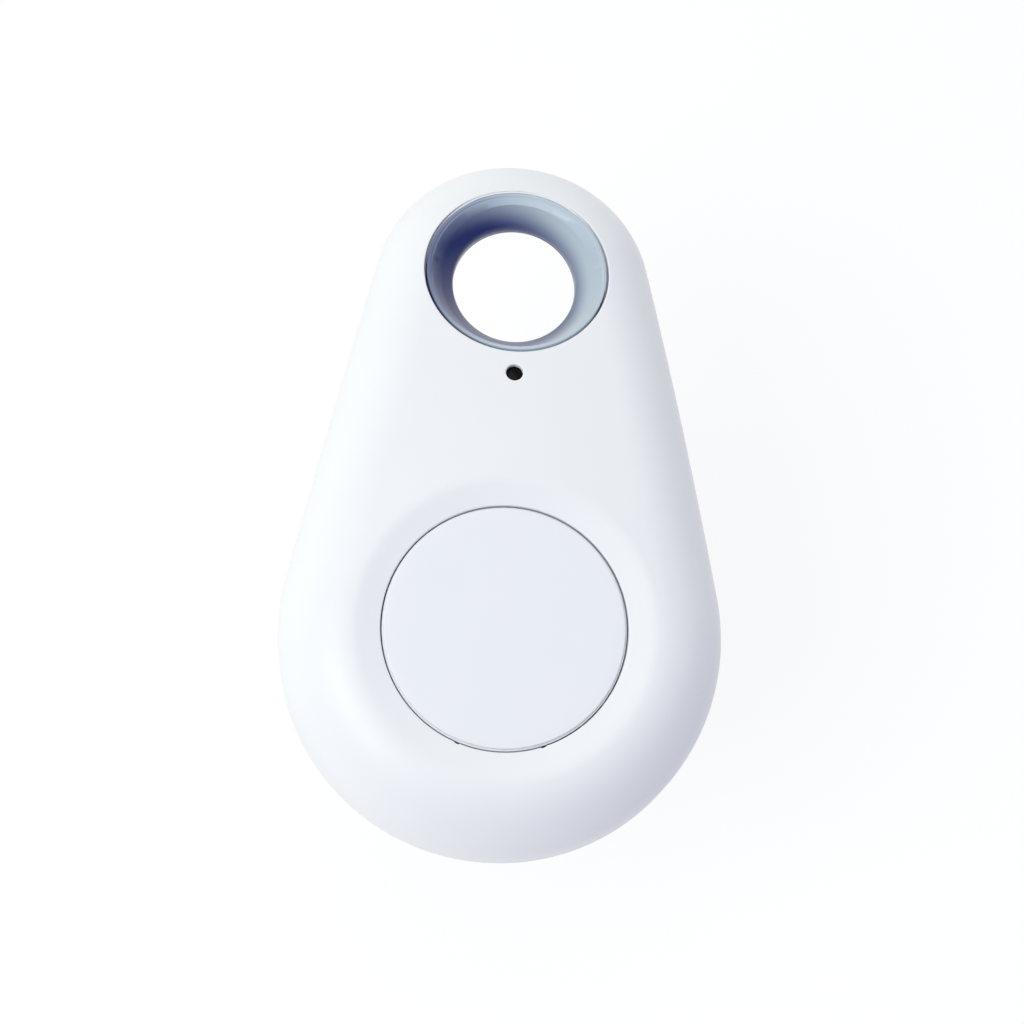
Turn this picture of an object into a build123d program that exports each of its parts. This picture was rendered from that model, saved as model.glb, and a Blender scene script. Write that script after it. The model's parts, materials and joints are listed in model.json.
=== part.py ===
from build123d import *
import math
import os

# Drop-shaped key-finder tag, in millimetres. It lies on its back: +Z points out of the front face,
# +Y runs towards the keyring hole, and the origin is under the middle of its box.

# ---- Housing outline: two round ends joined by their common tangents
LENGTH = 51.5
WIDTH = 31.0
HEIGHT = 11.0
WIDE_R = WIDTH / 2
RING_R = 10.2
WIDE_Y = WIDE_R - LENGTH / 2
RING_Y = LENGTH / 2 - RING_R

# ---- Housing section: spherical crowns front and back, round edges
CROWN_R = 112.0
CROWN_Y = -1.0
BACK_R = 250.0
BACK_Y = -5.0
BACK_SINK = 0.3
FRONT_ROUND = 5.2
BACK_ROUND = 2.0
WALL = 1.2
SPLIT_Z = 2.6
PLAY = 0.1
LIP_WALL = 0.8
LIP_TOP = 3.4

# ---- Keyring hole: an hourglass, narrowest at its bore
HOLE_Y = 15.45
BORE_R = 4.45
BORE_LOW = 6.1
BORE_TOP = 6.9
FLARE = math.tan(math.radians(27))
FUNNEL_R = 5.4
FUNNEL_Z = 8.25
LIP_IN_R = 6.2
LINER_R = 6.45
LINER_LOW = 5.92
SEAT_R = 6.5
MOUTH_R = 6.62
MOUTH_DEEP = 8.6
BOSS_R = 7.5
SEAT_LOW = 5.5
CHIMNEY_TOP = 5.4
CHIMNEY_WALL = 1.0

# ---- Button: a flat disc on the crown's own normal, on a tongue at its lower edge
BUTTON_Y = -10.95
BUTTON_R = 8.2
WELL_R = 8.42
DISH_R = 10.3
DISH_DEEP = 0.75
BUTTON_DEEP = 0.62
BUTTON_THICK = 1.2
TONGUE_W = 5.8
TONGUE_TOP = -1.85
TONGUE_THICK = 0.7
TONGUE_ROOT = 6.7
PIVOT_Y = -10.5
PIVOT_Z = TONGUE_TOP - TONGUE_THICK / 2
STAKE_X = 1.6
STAKE_Y = -9.5
STAKE_R = 0.3
STAKE_HEAD_R = 0.6
STAKE_PLAY = 0.14
SLIT = 0.36

# ---- Circuit board and what stands on it
BOARD_LOW = 5.5
BOARD_TOP = 6.3
BOARD_INSET = 2.7
BOARD_END_Y = 8.5
BOARD_ROUND_HOLE = 7.8
POSTS = [(8.8, -17.6), (-8.8, -17.6), (9.4, -2.5), (-9.4, -2.5)]
POST_R = 1.1
PIN_R = 0.55
PIN_LOW = 4.9
PIN_HOLE_R = 0.65

# ---- Coin cell, 20 mm across and 3.2 mm thick
CELL_R = 10.0
CELL_LOW = 1.55
CELL_H = 3.2
CAP_R = 8.85
CELL_SHEET = 0.28

# ---- Indicator window
WINDOW_Y = 7.2
WINDOW_R = 0.6
WINDOW_SUNK = 0.3

# ---- Push switch
SWITCH_SIZE = 5.2
SWITCH_BASE_H = 1.25
PLUNGER_R = 1.0
PLUNGER_TOP = 8.29
DOME_LOW = 6.75

# ---- Sounder
SOUNDER_Y = 1.75
SOUNDER_R = 4.25
SOUNDER_H = 2.8


def outline(inset=0.0):
    """Drop-shaped face, drawn in by the inset."""
    wide = WIDE_R - inset
    ring = RING_R - inset
    lean = math.asin((WIDE_R - RING_R) / (RING_Y - WIDE_Y))
    across, along = math.cos(lean), math.sin(lean)
    wide_right = (wide * across, WIDE_Y + wide * along)
    wide_left = (-wide * across, WIDE_Y + wide * along)
    ring_right = (ring * across, RING_Y + ring * along)
    ring_left = (-ring * across, RING_Y + ring * along)
    edges = [
        ThreePointArc(wide_left, (0, WIDE_Y - wide), wide_right),
        Line(wide_right, ring_right),
        ThreePointArc(ring_right, (0, RING_Y + ring), ring_left),
        Line(ring_left, wide_left),
    ]
    return make_face(edges)


def prism(face, low, top):
    """Straight-walled solid over a flat face, between two heights."""
    return Pos(0, 0, low) * extrude(face, top - low)


def drum(radius, low, top, x=0.0, y=0.0):
    """Upright cylinder between two heights."""
    return Pos(x, y, low) * Cylinder(radius, top - low, align=(Align.CENTER, Align.CENTER, Align.MIN))


def tube(outer, inner, low, top, x=0.0, y=0.0):
    """Upright tube between two heights."""
    return drum(outer, low, top, x, y) - drum(inner, low - 1, top + 1, x, y)


def slab(size_x, size_y, low, top, x=0.0, y=0.0):
    """Upright block between two heights, centred on a point."""
    return Pos(x, y, low) * Box(size_x, size_y, top - low, align=(Align.CENTER, Align.CENTER, Align.MIN))


def ball(radius, y, z):
    """Sphere with its poles along Y, so that its crown carries no seam."""
    return Pos(0, y, z) * Rot(90, 0, 0) * Sphere(radius)


def drop(inset=0.0):
    """The housing's whole body, crowned and rounded, drawn in by the inset on every side."""
    body = prism(outline(inset), inset, HEIGHT + 1)
    body = body & ball(CROWN_R - inset, CROWN_Y, HEIGHT - CROWN_R)
    body = body & ball(BACK_R - inset, BACK_Y, BACK_R - BACK_SINK)
    front = body.faces().sort_by(Axis.Z)[-1]
    body = fillet(front.edges(), FRONT_ROUND - inset)
    land = body.faces().filter_by(GeomType.PLANE).sort_by(Axis.Z)[0]
    round_back = [f for f in body.faces().filter_by(GeomType.SPHERE) if f.center().Z < HEIGHT / 3]
    rim = [e for e in round_back[0].outer_wire().edges() if e not in land.edges()]
    return fillet(rim, BACK_ROUND - inset) if inset < BACK_ROUND else body


def above(level):
    """Everything over a height."""
    return slab(2 * LENGTH, 2 * LENGTH, level, 3 * HEIGHT)


def below(level):
    """Everything under a height."""
    return slab(2 * LENGTH, 2 * LENGTH, -HEIGHT, level)


def turned(points, y):
    """Ring turned about an upright axis at that Y, from a closed profile of (radius, height)."""
    face = make_face(Plane.XZ * Polyline(*points, close=True))
    return Pos(0, y, 0) * revolve(face, Axis.Z)


def strip(points, thick, width, y):
    """Flat metal strip bent along a line of (x, height), centred on that Y."""
    band = Plane.XZ * trace(Polyline(*points), thick)
    return Pos(0, y + width / 2, 0) * extrude(band, width, dir=(0, -1, 0))


LEAN = math.degrees(math.asin((CROWN_Y - BUTTON_Y) / CROWN_R))
BUTTON_Z = HEIGHT - CROWN_R + CROWN_R * math.cos(math.radians(LEAN))
ON_BUTTON = Pos(0, BUTTON_Y, BUTTON_Z) * Rot(LEAN, 0, 0)
SAG = CROWN_R - math.sqrt(CROWN_R**2 - DISH_R**2)

OUTER = drop()
INNER = drop(WALL)


def button_well():
    """What the front shell gives up for the button: the shallow dish, the hole and two end slits."""
    slope = (DISH_R - WELL_R) / (DISH_DEEP - SAG)
    rise = 0.7
    high_r = DISH_R + (SAG + rise) * slope
    dish_h = DISH_DEEP + rise
    dish = Pos(0, 0, -DISH_DEEP) * Cone(WELL_R, high_r, dish_h, align=(Align.CENTER, Align.CENTER, Align.MIN))
    cut = dish + drum(WELL_R, -2 * WALL - 1, 0)
    for side in (-1, 1):
        cut += slab(SLIT, SLIT, -2 * WALL, 0, side * TONGUE_W / 2, -WELL_R * 0.94)
    return ON_BUTTON * cut


def tongue_stakes():
    """Two melted studs that hold the button's tongue under the front shell."""
    head_top = TONGUE_TOP - TONGUE_THICK - STAKE_PLAY
    studs = Part()
    for side in (-1, 1):
        studs += drum(STAKE_R, head_top - 0.2, -WALL / 2, side * STAKE_X, STAKE_Y)
        studs += drum(STAKE_HEAD_R, head_top - 0.25, head_top, side * STAKE_X, STAKE_Y)
    return ON_BUTTON * studs


def front_shell():
    """Crowned front half with the liner's seat, the board's posts and the button's well."""
    shell = (OUTER - INNER) & above(SPLIT_Z)
    shell -= prism(outline(WALL), 0, LIP_TOP + PLAY)
    core = drop(WALL / 2)
    boss = drum(BOSS_R, SEAT_LOW, HEIGHT, 0, HOLE_Y) & core
    shell += boss
    for x, y in POSTS:
        shell += drum(POST_R, BOARD_TOP + 0.02, HEIGHT, x, y) & core
        shell += drum(PIN_R, PIN_LOW, BOARD_TOP + 1, x, y)
    shell += tongue_stakes() & core
    shell -= button_well()
    shell -= drum(MOUTH_R, MOUTH_DEEP, 2 * HEIGHT, 0, HOLE_Y)
    shell -= drum(SEAT_R, LINER_LOW - 0.02, 2 * HEIGHT, 0, HOLE_Y)
    shell -= drum(BORE_R + 0.4, 0, HEIGHT, 0, HOLE_Y)
    return shell - drum(WINDOW_R, HEIGHT / 2, 2 * HEIGHT, 0, WINDOW_Y)


def keyring_liner():
    """Hard glossy eyelet: a funnel down to the bore, and the start of the flare behind it."""
    profile = [
        (BORE_R + (BORE_LOW - LINER_LOW) * FLARE, LINER_LOW),
        (LINER_R, LINER_LOW),
        (LINER_R, HEIGHT),
        (LIP_IN_R, HEIGHT),
        (LIP_IN_R, 9.6),
        (FUNNEL_R, FUNNEL_Z),
        (BORE_R, BORE_TOP),
        (BORE_R, BORE_LOW),
    ]
    return turned(profile, HOLE_Y) & drop(0.06)


def indicator_lens():
    """Smoked light pipe: a round face in the shell and a square foot over the lamp."""
    top = HEIGHT - (WINDOW_Y - CROWN_Y) ** 2 / (2 * CROWN_R) - WINDOW_SUNK
    return drum(WINDOW_R - 0.04, 8.9, top, 0, WINDOW_Y) + slab(1.8, 1.4, 7.5, 9.3, 0, WINDOW_Y - 0.2)


def button_cap():
    """Flat disc with a thin tongue under the shell and a stub over the switch."""
    disc = drum(BUTTON_R, -BUTTON_DEEP - BUTTON_THICK, -BUTTON_DEEP)
    disc = fillet(disc.edges().group_by(Axis.Z)[-1], 0.22)
    width = TONGUE_W - 0.5
    low = TONGUE_TOP - TONGUE_THICK
    tongue = slab(width, -PIVOT_Y - TONGUE_ROOT, low, TONGUE_TOP, 0, (PIVOT_Y - TONGUE_ROOT) / 2)
    tongue += Pos(0, PIVOT_Y, PIVOT_Z) * Rot(0, 90, 0) * Cylinder(TONGUE_THICK / 2, width)
    neck = slab(width, 1.2, low, -BUTTON_DEEP - 0.4, 0, -BUTTON_R + 0.9)
    cap = disc + tongue + neck
    for side in (-1, 1):
        cap -= drum(STAKE_R + STAKE_PLAY, low - 1, TONGUE_TOP + 0.5, side * STAKE_X, STAKE_Y)
    stub = drum(0.9, PLUNGER_TOP + 0.06, BUTTON_Z - BUTTON_DEEP - 0.5, 0, BUTTON_Y)
    return ON_BUTTON * cap + stub


def cell_rib():
    """Low ring on the cover's floor that centres the coin cell."""
    ring = tube(CELL_R + 1.1, CELL_R + 0.3, 0.6, 2.9, 0, WIDE_Y)
    gaps = slab(3 * CELL_R, 6, 1.4, 4, 0, WIDE_Y) + slab(6, 3 * CELL_R, 1.4, 4, 0, WIDE_Y)
    return ring - gaps


def back_cover():
    """Shallow tray that closes the back, with its lip, the hole's flare and a fingernail notch."""
    tray = (OUTER - INNER) & below(SPLIT_Z)
    core = drop(WALL / 3)
    collar = prism(outline(WALL - 0.2), 0.5, SPLIT_Z) - prism(outline(WALL + PLAY + LIP_WALL), 0, HEIGHT)
    lip = prism(outline(WALL + PLAY), SPLIT_Z - 0.5, LIP_TOP) - prism(outline(WALL + PLAY + LIP_WALL), 0, HEIGHT)
    base_r = BORE_R + BORE_LOW * FLARE
    top_r = BORE_R + (BORE_LOW - CHIMNEY_TOP) * FLARE
    horn = Pos(0, HOLE_Y, 0) * Cone(
        base_r + CHIMNEY_WALL, top_r + CHIMNEY_WALL, CHIMNEY_TOP, align=(Align.CENTER, Align.CENTER, Align.MIN)
    )
    flare_h = CHIMNEY_TOP + 2
    flare = Pos(0, HOLE_Y, -1) * Cone(
        base_r + FLARE, base_r + FLARE - flare_h * FLARE, flare_h, align=(Align.CENTER, Align.CENTER, Align.MIN)
    )
    cover = tray + (collar & core) + lip + (cell_rib() & core)
    cover += (horn & prism(outline(WALL), 0, HEIGHT)) & core
    cover -= flare
    return cover - slab(6, 1.6, SPLIT_Z - 0.7, SPLIT_Z + 0.1, 0, LENGTH / 2)


def circuit_board():
    """Fibreglass board that follows the drop and stops short of the liner."""
    board = prism(outline(BOARD_INSET), BOARD_LOW, BOARD_TOP)
    board &= slab(2 * WIDTH, LENGTH, 0, HEIGHT, 0, BOARD_END_Y - LENGTH / 2)
    board -= drum(BOARD_ROUND_HOLE, 0, HEIGHT, 0, HOLE_Y)
    for x, y in POSTS:
        board -= drum(PIN_HOLE_R, 0, HEIGHT, x, y)
    return board


def antenna_trace():
    """Copper meander beside the sounder."""
    track, gauge, pitch, turns = 0.35, 0.06, 1.0, 7
    low, top = BOARD_TOP, BOARD_TOP + gauge
    x_in, x_out, y_start = 5.3, 8.3, 0.6
    trace_run = slab(x_out - x_in + track, track, low, top, (x_in + x_out) / 2, y_start)
    for turn in range(turns):
        y = y_start + turn * pitch
        x_link = x_out if turn % 2 == 0 else x_in
        trace_run += slab(track, pitch + track, low, top, x_link, y + pitch / 2)
        trace_run += slab(x_out - x_in + track, track, low, top, (x_in + x_out) / 2, y + pitch)
    return trace_run


def cell_can():
    """Steel cup of the coin cell, rolled in over its seal."""
    top = CELL_LOW + CELL_H - 0.4
    can = [
        (0, CELL_LOW), (CELL_R - 0.3, CELL_LOW), (CELL_R, CELL_LOW + 0.3), (CELL_R, top - 0.4),
        (CELL_R - 0.5, top), (CELL_R - 0.65, top - 0.15), (CELL_R - CELL_SHEET, top - 0.5),
        (CELL_R - CELL_SHEET, CELL_LOW + CELL_SHEET), (0, CELL_LOW + CELL_SHEET),
    ]
    return turned(can, WIDE_Y)


def cell_seal():
    """Plastic ring between the cell's cup and its cap."""
    low, top = CELL_LOW + CELL_SHEET, CELL_LOW + CELL_H - 0.45
    outer = CELL_R - CELL_SHEET
    ring = [
        (outer - 0.02, low), (outer - 0.02, top - 0.5), (CELL_R - 0.75, top - 0.05), (CAP_R + 0.03, top),
        (CAP_R + 0.03, low),
    ]
    return turned(ring, WIDE_Y)


def cell_cap():
    """Steel lid of the coin cell, its negative face."""
    top = CELL_LOW + CELL_H
    lid = [
        (0, top), (CAP_R - 0.6, top), (CAP_R - 0.3, top - 0.3), (CAP_R, top - 0.5), (CAP_R, top - 1.6),
        (CAP_R - CELL_SHEET, top - 1.6), (CAP_R - CELL_SHEET, top - 0.65), (CAP_R - 0.75, top - CELL_SHEET),
        (0, top - CELL_SHEET),
    ]
    return turned(lid, WIDE_Y)


def cathode_pellet():
    """Pressed black pellet in the cell's cup."""
    low = CELL_LOW + CELL_SHEET
    return drum(CAP_R - 0.6, low, low + 1.7, 0, WIDE_Y)


def lithium_disc():
    """Soft metal disc under the cell's cap."""
    low = CELL_LOW + CELL_SHEET + 1.75
    return drum(CAP_R - 0.95, low, CELL_LOW + CELL_H - CELL_SHEET - 0.02, 0, WIDE_Y)


def positive_clip():
    """Bent strip from the board to the side of the cell's cup."""
    points = [(12.4, BOARD_LOW - 0.1), (10.9, BOARD_LOW - 0.1), (10.3, 4.1), (10.6, 3.4)]
    return strip(points, 0.18, 3.2, WIDE_Y)


def negative_contact():
    """Leaf spring from the board to the middle of the cell's cap."""
    leaf_low = CELL_LOW + CELL_H + 0.14
    points = [(5.2, BOARD_LOW - 0.1), (2.8, BOARD_LOW - 0.1), (0.6, leaf_low), (-0.6, leaf_low), (-1.2, leaf_low + 0.3)]
    return strip(points, 0.16, 2.6, WIDE_Y)


def radio_chip():
    """Square radio chip, flat on the board."""
    return slab(4.8, 4.8, BOARD_TOP + 0.03, BOARD_TOP + 0.85, -6.2, -9.0)


def crystal_can():
    """Metal can of the clock crystal."""
    body = slab(3.2, 2.5, BOARD_TOP, BOARD_TOP + 0.75, -6.2, -14.0)
    return chamfer(body.edges().group_by(Axis.Z)[-1], 0.12)


def chips(places, size, height):
    """Group of small chips: each is a block at (x, y), turned where the third value is 1."""
    group = []
    for x, y, turn in places:
        length, width = (size[1], size[0]) if turn else size
        group.append(slab(length, width, BOARD_TOP, BOARD_TOP + height, x, y))
    return Compound(children=group)


CAPACITOR_PLACES = [(-9.6, -9.4, 1), (-9.6, -11.2, 1), (-6.4, -5.4, 0), (-9.6, -6.2, 1), (6.4, -15.0, 0), (5.0, -3.4, 1)]
RESISTOR_PLACES = [(6.4, -13.6, 0), (6.4, -16.4, 0), (-6.4, -3.9, 0), (-3.2, 6.0, 1), (3.1, 6.9, 1)]


def capacitors():
    """Small brown chip capacitors."""
    return chips(CAPACITOR_PLACES, (1.6, 0.8), 0.7)


def resistors():
    """Small black chip resistors."""
    return chips(RESISTOR_PLACES, (1.6, 0.8), 0.45)


def coil_inductor():
    """Square power inductor."""
    body = slab(2.5, 2.5, BOARD_TOP, BOARD_TOP + 1.2, 7.6, -8.0)
    return fillet(body.edges().filter_by(Axis.Z), 0.4)


def lamp_base():
    """White base of the indicator lamp."""
    return slab(1.6, 0.8, BOARD_TOP, BOARD_TOP + 0.35, 0, WINDOW_Y - 0.25)


def lamp_lens():
    """Clear block over the lamp's die."""
    low = BOARD_TOP + 0.35
    return slab(1.1, 0.8, low, low + 0.4, 0, WINDOW_Y - 0.25)


def switch_base():
    """Moulded base of the push switch with the dome's pocket."""
    top = BOARD_TOP + SWITCH_BASE_H
    base = slab(SWITCH_SIZE, SWITCH_SIZE, BOARD_TOP, top, 0, BUTTON_Y)
    base = chamfer(base.edges().filter_by(Axis.Z), 0.5)
    return base - drum(1.95, DOME_LOW, top + 1, 0, BUTTON_Y)


def switch_cover():
    """Pressed metal plate over the switch's base."""
    low = BOARD_TOP + SWITCH_BASE_H
    plate = slab(SWITCH_SIZE - 0.3, SWITCH_SIZE - 0.3, low, low + 0.2, 0, BUTTON_Y)
    return plate - drum(PLUNGER_R + 0.1, low - 1, low + 1, 0, BUTTON_Y)


def switch_plunger():
    """Round plunger with the flange that keeps it in."""
    flange_top = BOARD_TOP + SWITCH_BASE_H - 0.04
    flange = drum(PLUNGER_R + 0.35, flange_top - 0.25, flange_top, 0, BUTTON_Y)
    stem = drum(PLUNGER_R, flange_top - 0.1, PLUNGER_TOP, 0, BUTTON_Y)
    return flange + chamfer(stem.edges().group_by(Axis.Z)[-1], 0.12)


def snap_dome():
    """Thin sprung dome under the plunger."""
    base_r, rise, gauge = 1.75, 0.36, 0.07
    bulge = (base_r**2 + rise**2) / (2 * rise)
    centre = DOME_LOW + rise - bulge
    dome = Pos(0, BUTTON_Y, centre) * (Sphere(bulge) - Sphere(bulge - gauge))
    return dome & drum(base_r, DOME_LOW, DOME_LOW + 1, 0, BUTTON_Y)


def switch_legs():
    """Four soldered legs of the push switch."""
    reach = SWITCH_SIZE / 2 + 0.45
    legs = []
    for side_x in (-1, 1):
        for side_y in (-1, 1):
            y = BUTTON_Y + side_y * 1.6
            legs.append(slab(0.9, 0.7, BOARD_TOP, BOARD_TOP + 0.2, side_x * reach, y))
    return Compound(children=legs)


def sounder_case():
    """Plastic cup of the sounder with its sound hole."""
    low, top = BOARD_TOP + 0.35, BOARD_TOP + SOUNDER_H
    case = drum(SOUNDER_R, low, top, 0, SOUNDER_Y)
    case = fillet(case.edges().group_by(Axis.Z)[-1], 0.3)
    case -= drum(SOUNDER_R - 0.45, low - 1, top - 0.4, 0, SOUNDER_Y)
    return case - drum(0.75, low, top + 1, 0, SOUNDER_Y)


def sounder_base():
    """Steel plate that closes the sounder."""
    return drum(SOUNDER_R - 0.1, BOARD_TOP, BOARD_TOP + 0.33, 0, SOUNDER_Y)


def sounder_pole():
    """Iron pole in the middle of the coil."""
    return drum(0.8, BOARD_TOP + 0.33, BOARD_TOP + 1.7, 0, SOUNDER_Y)


def sounder_coil():
    """Copper winding round the pole."""
    return tube(1.9, 0.85, BOARD_TOP + 0.36, BOARD_TOP + 1.5, 0, SOUNDER_Y)


def sounder_magnet():
    """Ring magnet round the winding."""
    return tube(SOUNDER_R - 0.55, 2.4, BOARD_TOP + 0.36, BOARD_TOP + 1.6, 0, SOUNDER_Y)


def sounder_diaphragm():
    """Thin steel disc with its centre weight."""
    low = BOARD_TOP + 1.9
    disc = drum(SOUNDER_R - 0.55, low, low + 0.08, 0, SOUNDER_Y)
    return disc + drum(1.4, low, low + 0.25, 0, SOUNDER_Y)


PARTS = [
    front_shell, keyring_liner, indicator_lens, button_cap, back_cover, circuit_board, antenna_trace,
    cell_can, cell_seal, cell_cap, cathode_pellet, lithium_disc, positive_clip, negative_contact,
    radio_chip, crystal_can, capacitors, resistors, coil_inductor, lamp_base, lamp_lens,
    switch_base, switch_cover, switch_plunger, snap_dome, switch_legs,
    sounder_case, sounder_base, sounder_pole, sounder_coil, sounder_magnet, sounder_diaphragm,
]

os.makedirs("parts", exist_ok=True)
for make in PARTS:
    export_step(make(), f"parts/{make.__name__}.step")
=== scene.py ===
"""Drop-shaped key-finder tag: the finished look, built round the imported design.

Lengths in the classes are millimetres in the design's own frame: the tag lies on its back, +Z is out of
the front face and +Y runs towards the keyring hole. They become metres where a mesh is made.
"""

from __future__ import annotations

import json
import logging
import math
from collections.abc import Callable
from dataclasses import dataclass
from enum import Enum

import bmesh
import bpy
import numpy as np
from mathutils import Matrix, Vector
from mathutils.geometry import delaunay_2d_cdt


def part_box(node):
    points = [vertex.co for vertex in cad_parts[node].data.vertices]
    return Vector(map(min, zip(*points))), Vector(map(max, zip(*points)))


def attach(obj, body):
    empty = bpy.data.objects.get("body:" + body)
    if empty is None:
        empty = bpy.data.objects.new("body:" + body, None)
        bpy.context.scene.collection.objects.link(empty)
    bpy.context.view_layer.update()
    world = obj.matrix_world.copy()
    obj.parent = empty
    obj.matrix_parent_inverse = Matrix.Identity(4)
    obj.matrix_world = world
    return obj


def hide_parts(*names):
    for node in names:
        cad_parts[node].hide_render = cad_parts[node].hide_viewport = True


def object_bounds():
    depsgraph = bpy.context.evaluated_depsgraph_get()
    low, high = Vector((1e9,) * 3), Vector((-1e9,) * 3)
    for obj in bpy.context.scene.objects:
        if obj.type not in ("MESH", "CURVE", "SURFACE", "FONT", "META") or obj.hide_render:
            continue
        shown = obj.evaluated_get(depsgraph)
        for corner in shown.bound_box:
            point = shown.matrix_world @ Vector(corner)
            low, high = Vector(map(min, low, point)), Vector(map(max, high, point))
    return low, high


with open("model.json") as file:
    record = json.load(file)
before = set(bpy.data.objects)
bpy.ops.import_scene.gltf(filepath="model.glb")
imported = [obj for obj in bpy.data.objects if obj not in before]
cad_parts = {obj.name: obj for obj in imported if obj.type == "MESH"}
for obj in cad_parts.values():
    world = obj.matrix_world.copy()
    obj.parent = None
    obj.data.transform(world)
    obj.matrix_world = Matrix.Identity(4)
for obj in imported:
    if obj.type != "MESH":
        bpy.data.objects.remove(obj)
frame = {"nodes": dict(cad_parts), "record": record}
CAD_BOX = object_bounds()

LOG = logging.getLogger("key_finder_tag")
MM = 0.001
TAU = 2 * math.pi


class Body(Enum):
    """The rigid bodies of the design that new pieces ride on."""

    HOUSING = "housing"
    BUTTON = "button"
    COVER = "cover"


class Side(Enum):
    """Which way a crowned half looks: its value is the sign of its outward Z."""

    FRONT = 1.0
    BACK = -1.0


def node_box(node: str) -> tuple[np.ndarray, np.ndarray]:
    """Lowest and highest corner of a design node, in millimetres."""
    low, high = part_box(node)
    return np.array(low) / MM, np.array(high) / MM


def node_centre(node: str) -> np.ndarray:
    """Middle of a design node's box, in millimetres."""
    low, high = node_box(node)
    return (low + high) / 2


# ---------------------------------------------------------------------------------------------- meshes


class Skin:
    """Collects loops of points and the faces between them, and becomes one closed mesh."""

    def __init__(self) -> None:
        """Starts with no points and no faces."""
        self.points: list[np.ndarray] = []
        self.faces: list[np.ndarray] = []
        self.count = 0

    def add(self, points: np.ndarray) -> np.ndarray:
        """Adds points.

        Args:
            points: rows of x, y, z in millimetres.

        Returns:
            The new points' numbers.
        """
        numbers = np.arange(self.count, self.count + len(points))
        self.points.append(np.asarray(points, float))
        self.count += len(points)
        return numbers

    def bridge(self, low: np.ndarray, high: np.ndarray) -> None:
        """Joins two closed loops of the same length with four-sided faces."""
        self.faces.append(np.c_[low, np.roll(low, -1), np.roll(high, -1), high])

    def sleeve(self, loops: list[np.ndarray], first: np.ndarray | None = None) -> np.ndarray:
        """Joins a run of closed loops.

        Args:
            loops: one array of points for each loop, all the same length.
            first: numbers of a loop that is already there and starts the run.

        Returns:
            The last loop's numbers.
        """
        last = first
        for loop in loops:
            numbers = self.add(loop)
            if last is not None:
                self.bridge(last, numbers)
            last = numbers
        return last

    def cap(self, loop: np.ndarray) -> None:
        """Closes a loop with a fan of triangles to its middle."""
        middle = self.add(np.concatenate(self.points)[loop].mean(0)[None, :])
        self.faces.append(np.c_[loop, np.roll(loop, -1), np.full(len(loop), middle[0])])

    def patch(self, edges: list[np.ndarray], inner: np.ndarray) -> None:
        """Fills the area between closed edge loops with even triangles over X and Y.

        Args:
            edges: numbers of the outer loop, then of each hole's loop.
            inner: rows of x, y, z of the points inside the area.
        """
        numbers = np.concatenate([*edges, self.add(inner)])
        flat = np.concatenate(self.points)[numbers][:, :2]
        bow = 1e-4  # per mm2: bows straight edges outward a little, so that no three points are in line
        flat[:, 0] *= 1 - bow * (flat[:, 1] - 10) ** 2
        links, start = [], 0
        for edge in edges:
            ring = np.arange(start, start + len(edge))
            links += list(zip(ring.tolist(), np.roll(ring, -1).tolist()))
            start += len(edge)
        fill_the_loops, same_point = 1, 1e-7
        corners = [Vector(p) for p in flat]
        faces = delaunay_2d_cdt(corners, links, [], fill_the_loops, same_point, False)[2]
        tri = np.array([f for f in faces if max(f) < len(flat)])
        middle = flat[tri].mean(1)
        keep = np.ones(len(tri), bool)
        start = len(edges[0])
        for edge in edges[1:]:
            keep &= ~inside(middle, flat[start : start + len(edge)])
            start += len(edge)
        self.faces.append(numbers[tri[keep]])

    def slab(self, outer: np.ndarray, holes: list[np.ndarray], low: float, high: float) -> None:
        """Adds a flat plate with upright walls.

        Args:
            outer: closed loop of x and y.
            holes: closed loops of x and y to leave open.
            low: height of the underside.
            high: height of the top.
        """
        edges = (outer, *holes)
        lows, highs = ([self.add(np.c_[edge, np.full(len(edge), z)]) for edge in edges] for z in (low, high))
        for below, above in zip(lows, highs):
            self.bridge(below, above)
        self.patch(lows, np.zeros((0, 3)))
        self.patch(highs, np.zeros((0, 3)))

    def build(self, name: str) -> bpy.types.Object:
        """Makes the mesh object, with its normals outward.

        Args:
            name: the piece's name.

        Returns:
            The new object, smooth shaded with its sharp edges kept.
        """
        mesh = bpy.data.meshes.new(name)
        points = np.concatenate(self.points) * MM
        faces = [row for block in self.faces for row in block.tolist()]
        mesh.from_pydata(points.tolist(), [], faces)
        work = bmesh.new()
        work.from_mesh(mesh)
        bmesh.ops.remove_doubles(work, verts=work.verts, dist=1e-7)
        bmesh.ops.recalc_face_normals(work, faces=work.faces)
        work.to_mesh(mesh)
        work.free()
        mesh.shade_smooth()
        mesh.set_sharp_from_angle(angle=math.radians(40))
        piece = bpy.data.objects.new(name, mesh)
        bpy.context.scene.collection.objects.link(piece)
        return piece


def inside(points: np.ndarray, loop: np.ndarray) -> np.ndarray:
    """Tells which points lie inside a closed loop, by counting how often a ray along X crosses it.

    Args:
        points: flat points, one per row.
        loop: corners of the closed loop, one per row.

    Returns:
        one truth value per point.
    """
    a, b = loop, np.roll(loop, -1, axis=0)
    y = points[:, 1][:, None]
    crosses = (a[:, 1] > y) != (b[:, 1] > y)
    slope = np.where(b[:, 1] == a[:, 1], 1e-12, b[:, 1] - a[:, 1])
    x = a[:, 0] + (y - a[:, 1]) * (b[:, 0] - a[:, 0]) / slope
    return (crosses & (points[:, 0][:, None] < x)).sum(1) % 2 == 1


def rectangle(x: float, y: float, size_x: float, size_y: float) -> np.ndarray:
    """Corners of a rectangle: its middle plus and minus half of each size, in turn round it."""
    signs = np.array([(-1, -1), (1, -1), (1, 1), (-1, 1)])
    return signs * [size_x / 2, size_y / 2] + [x, y]


def circle(radius: float, count: int, centre: tuple[float, float] = (0.0, 0.0)) -> np.ndarray:
    """Points round a circle: centre plus radius times the cosine and sine of even angles."""
    angle = np.arange(count) * TAU / count
    return np.c_[centre[0] + radius * np.cos(angle), centre[1] + radius * np.sin(angle)]


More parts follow.
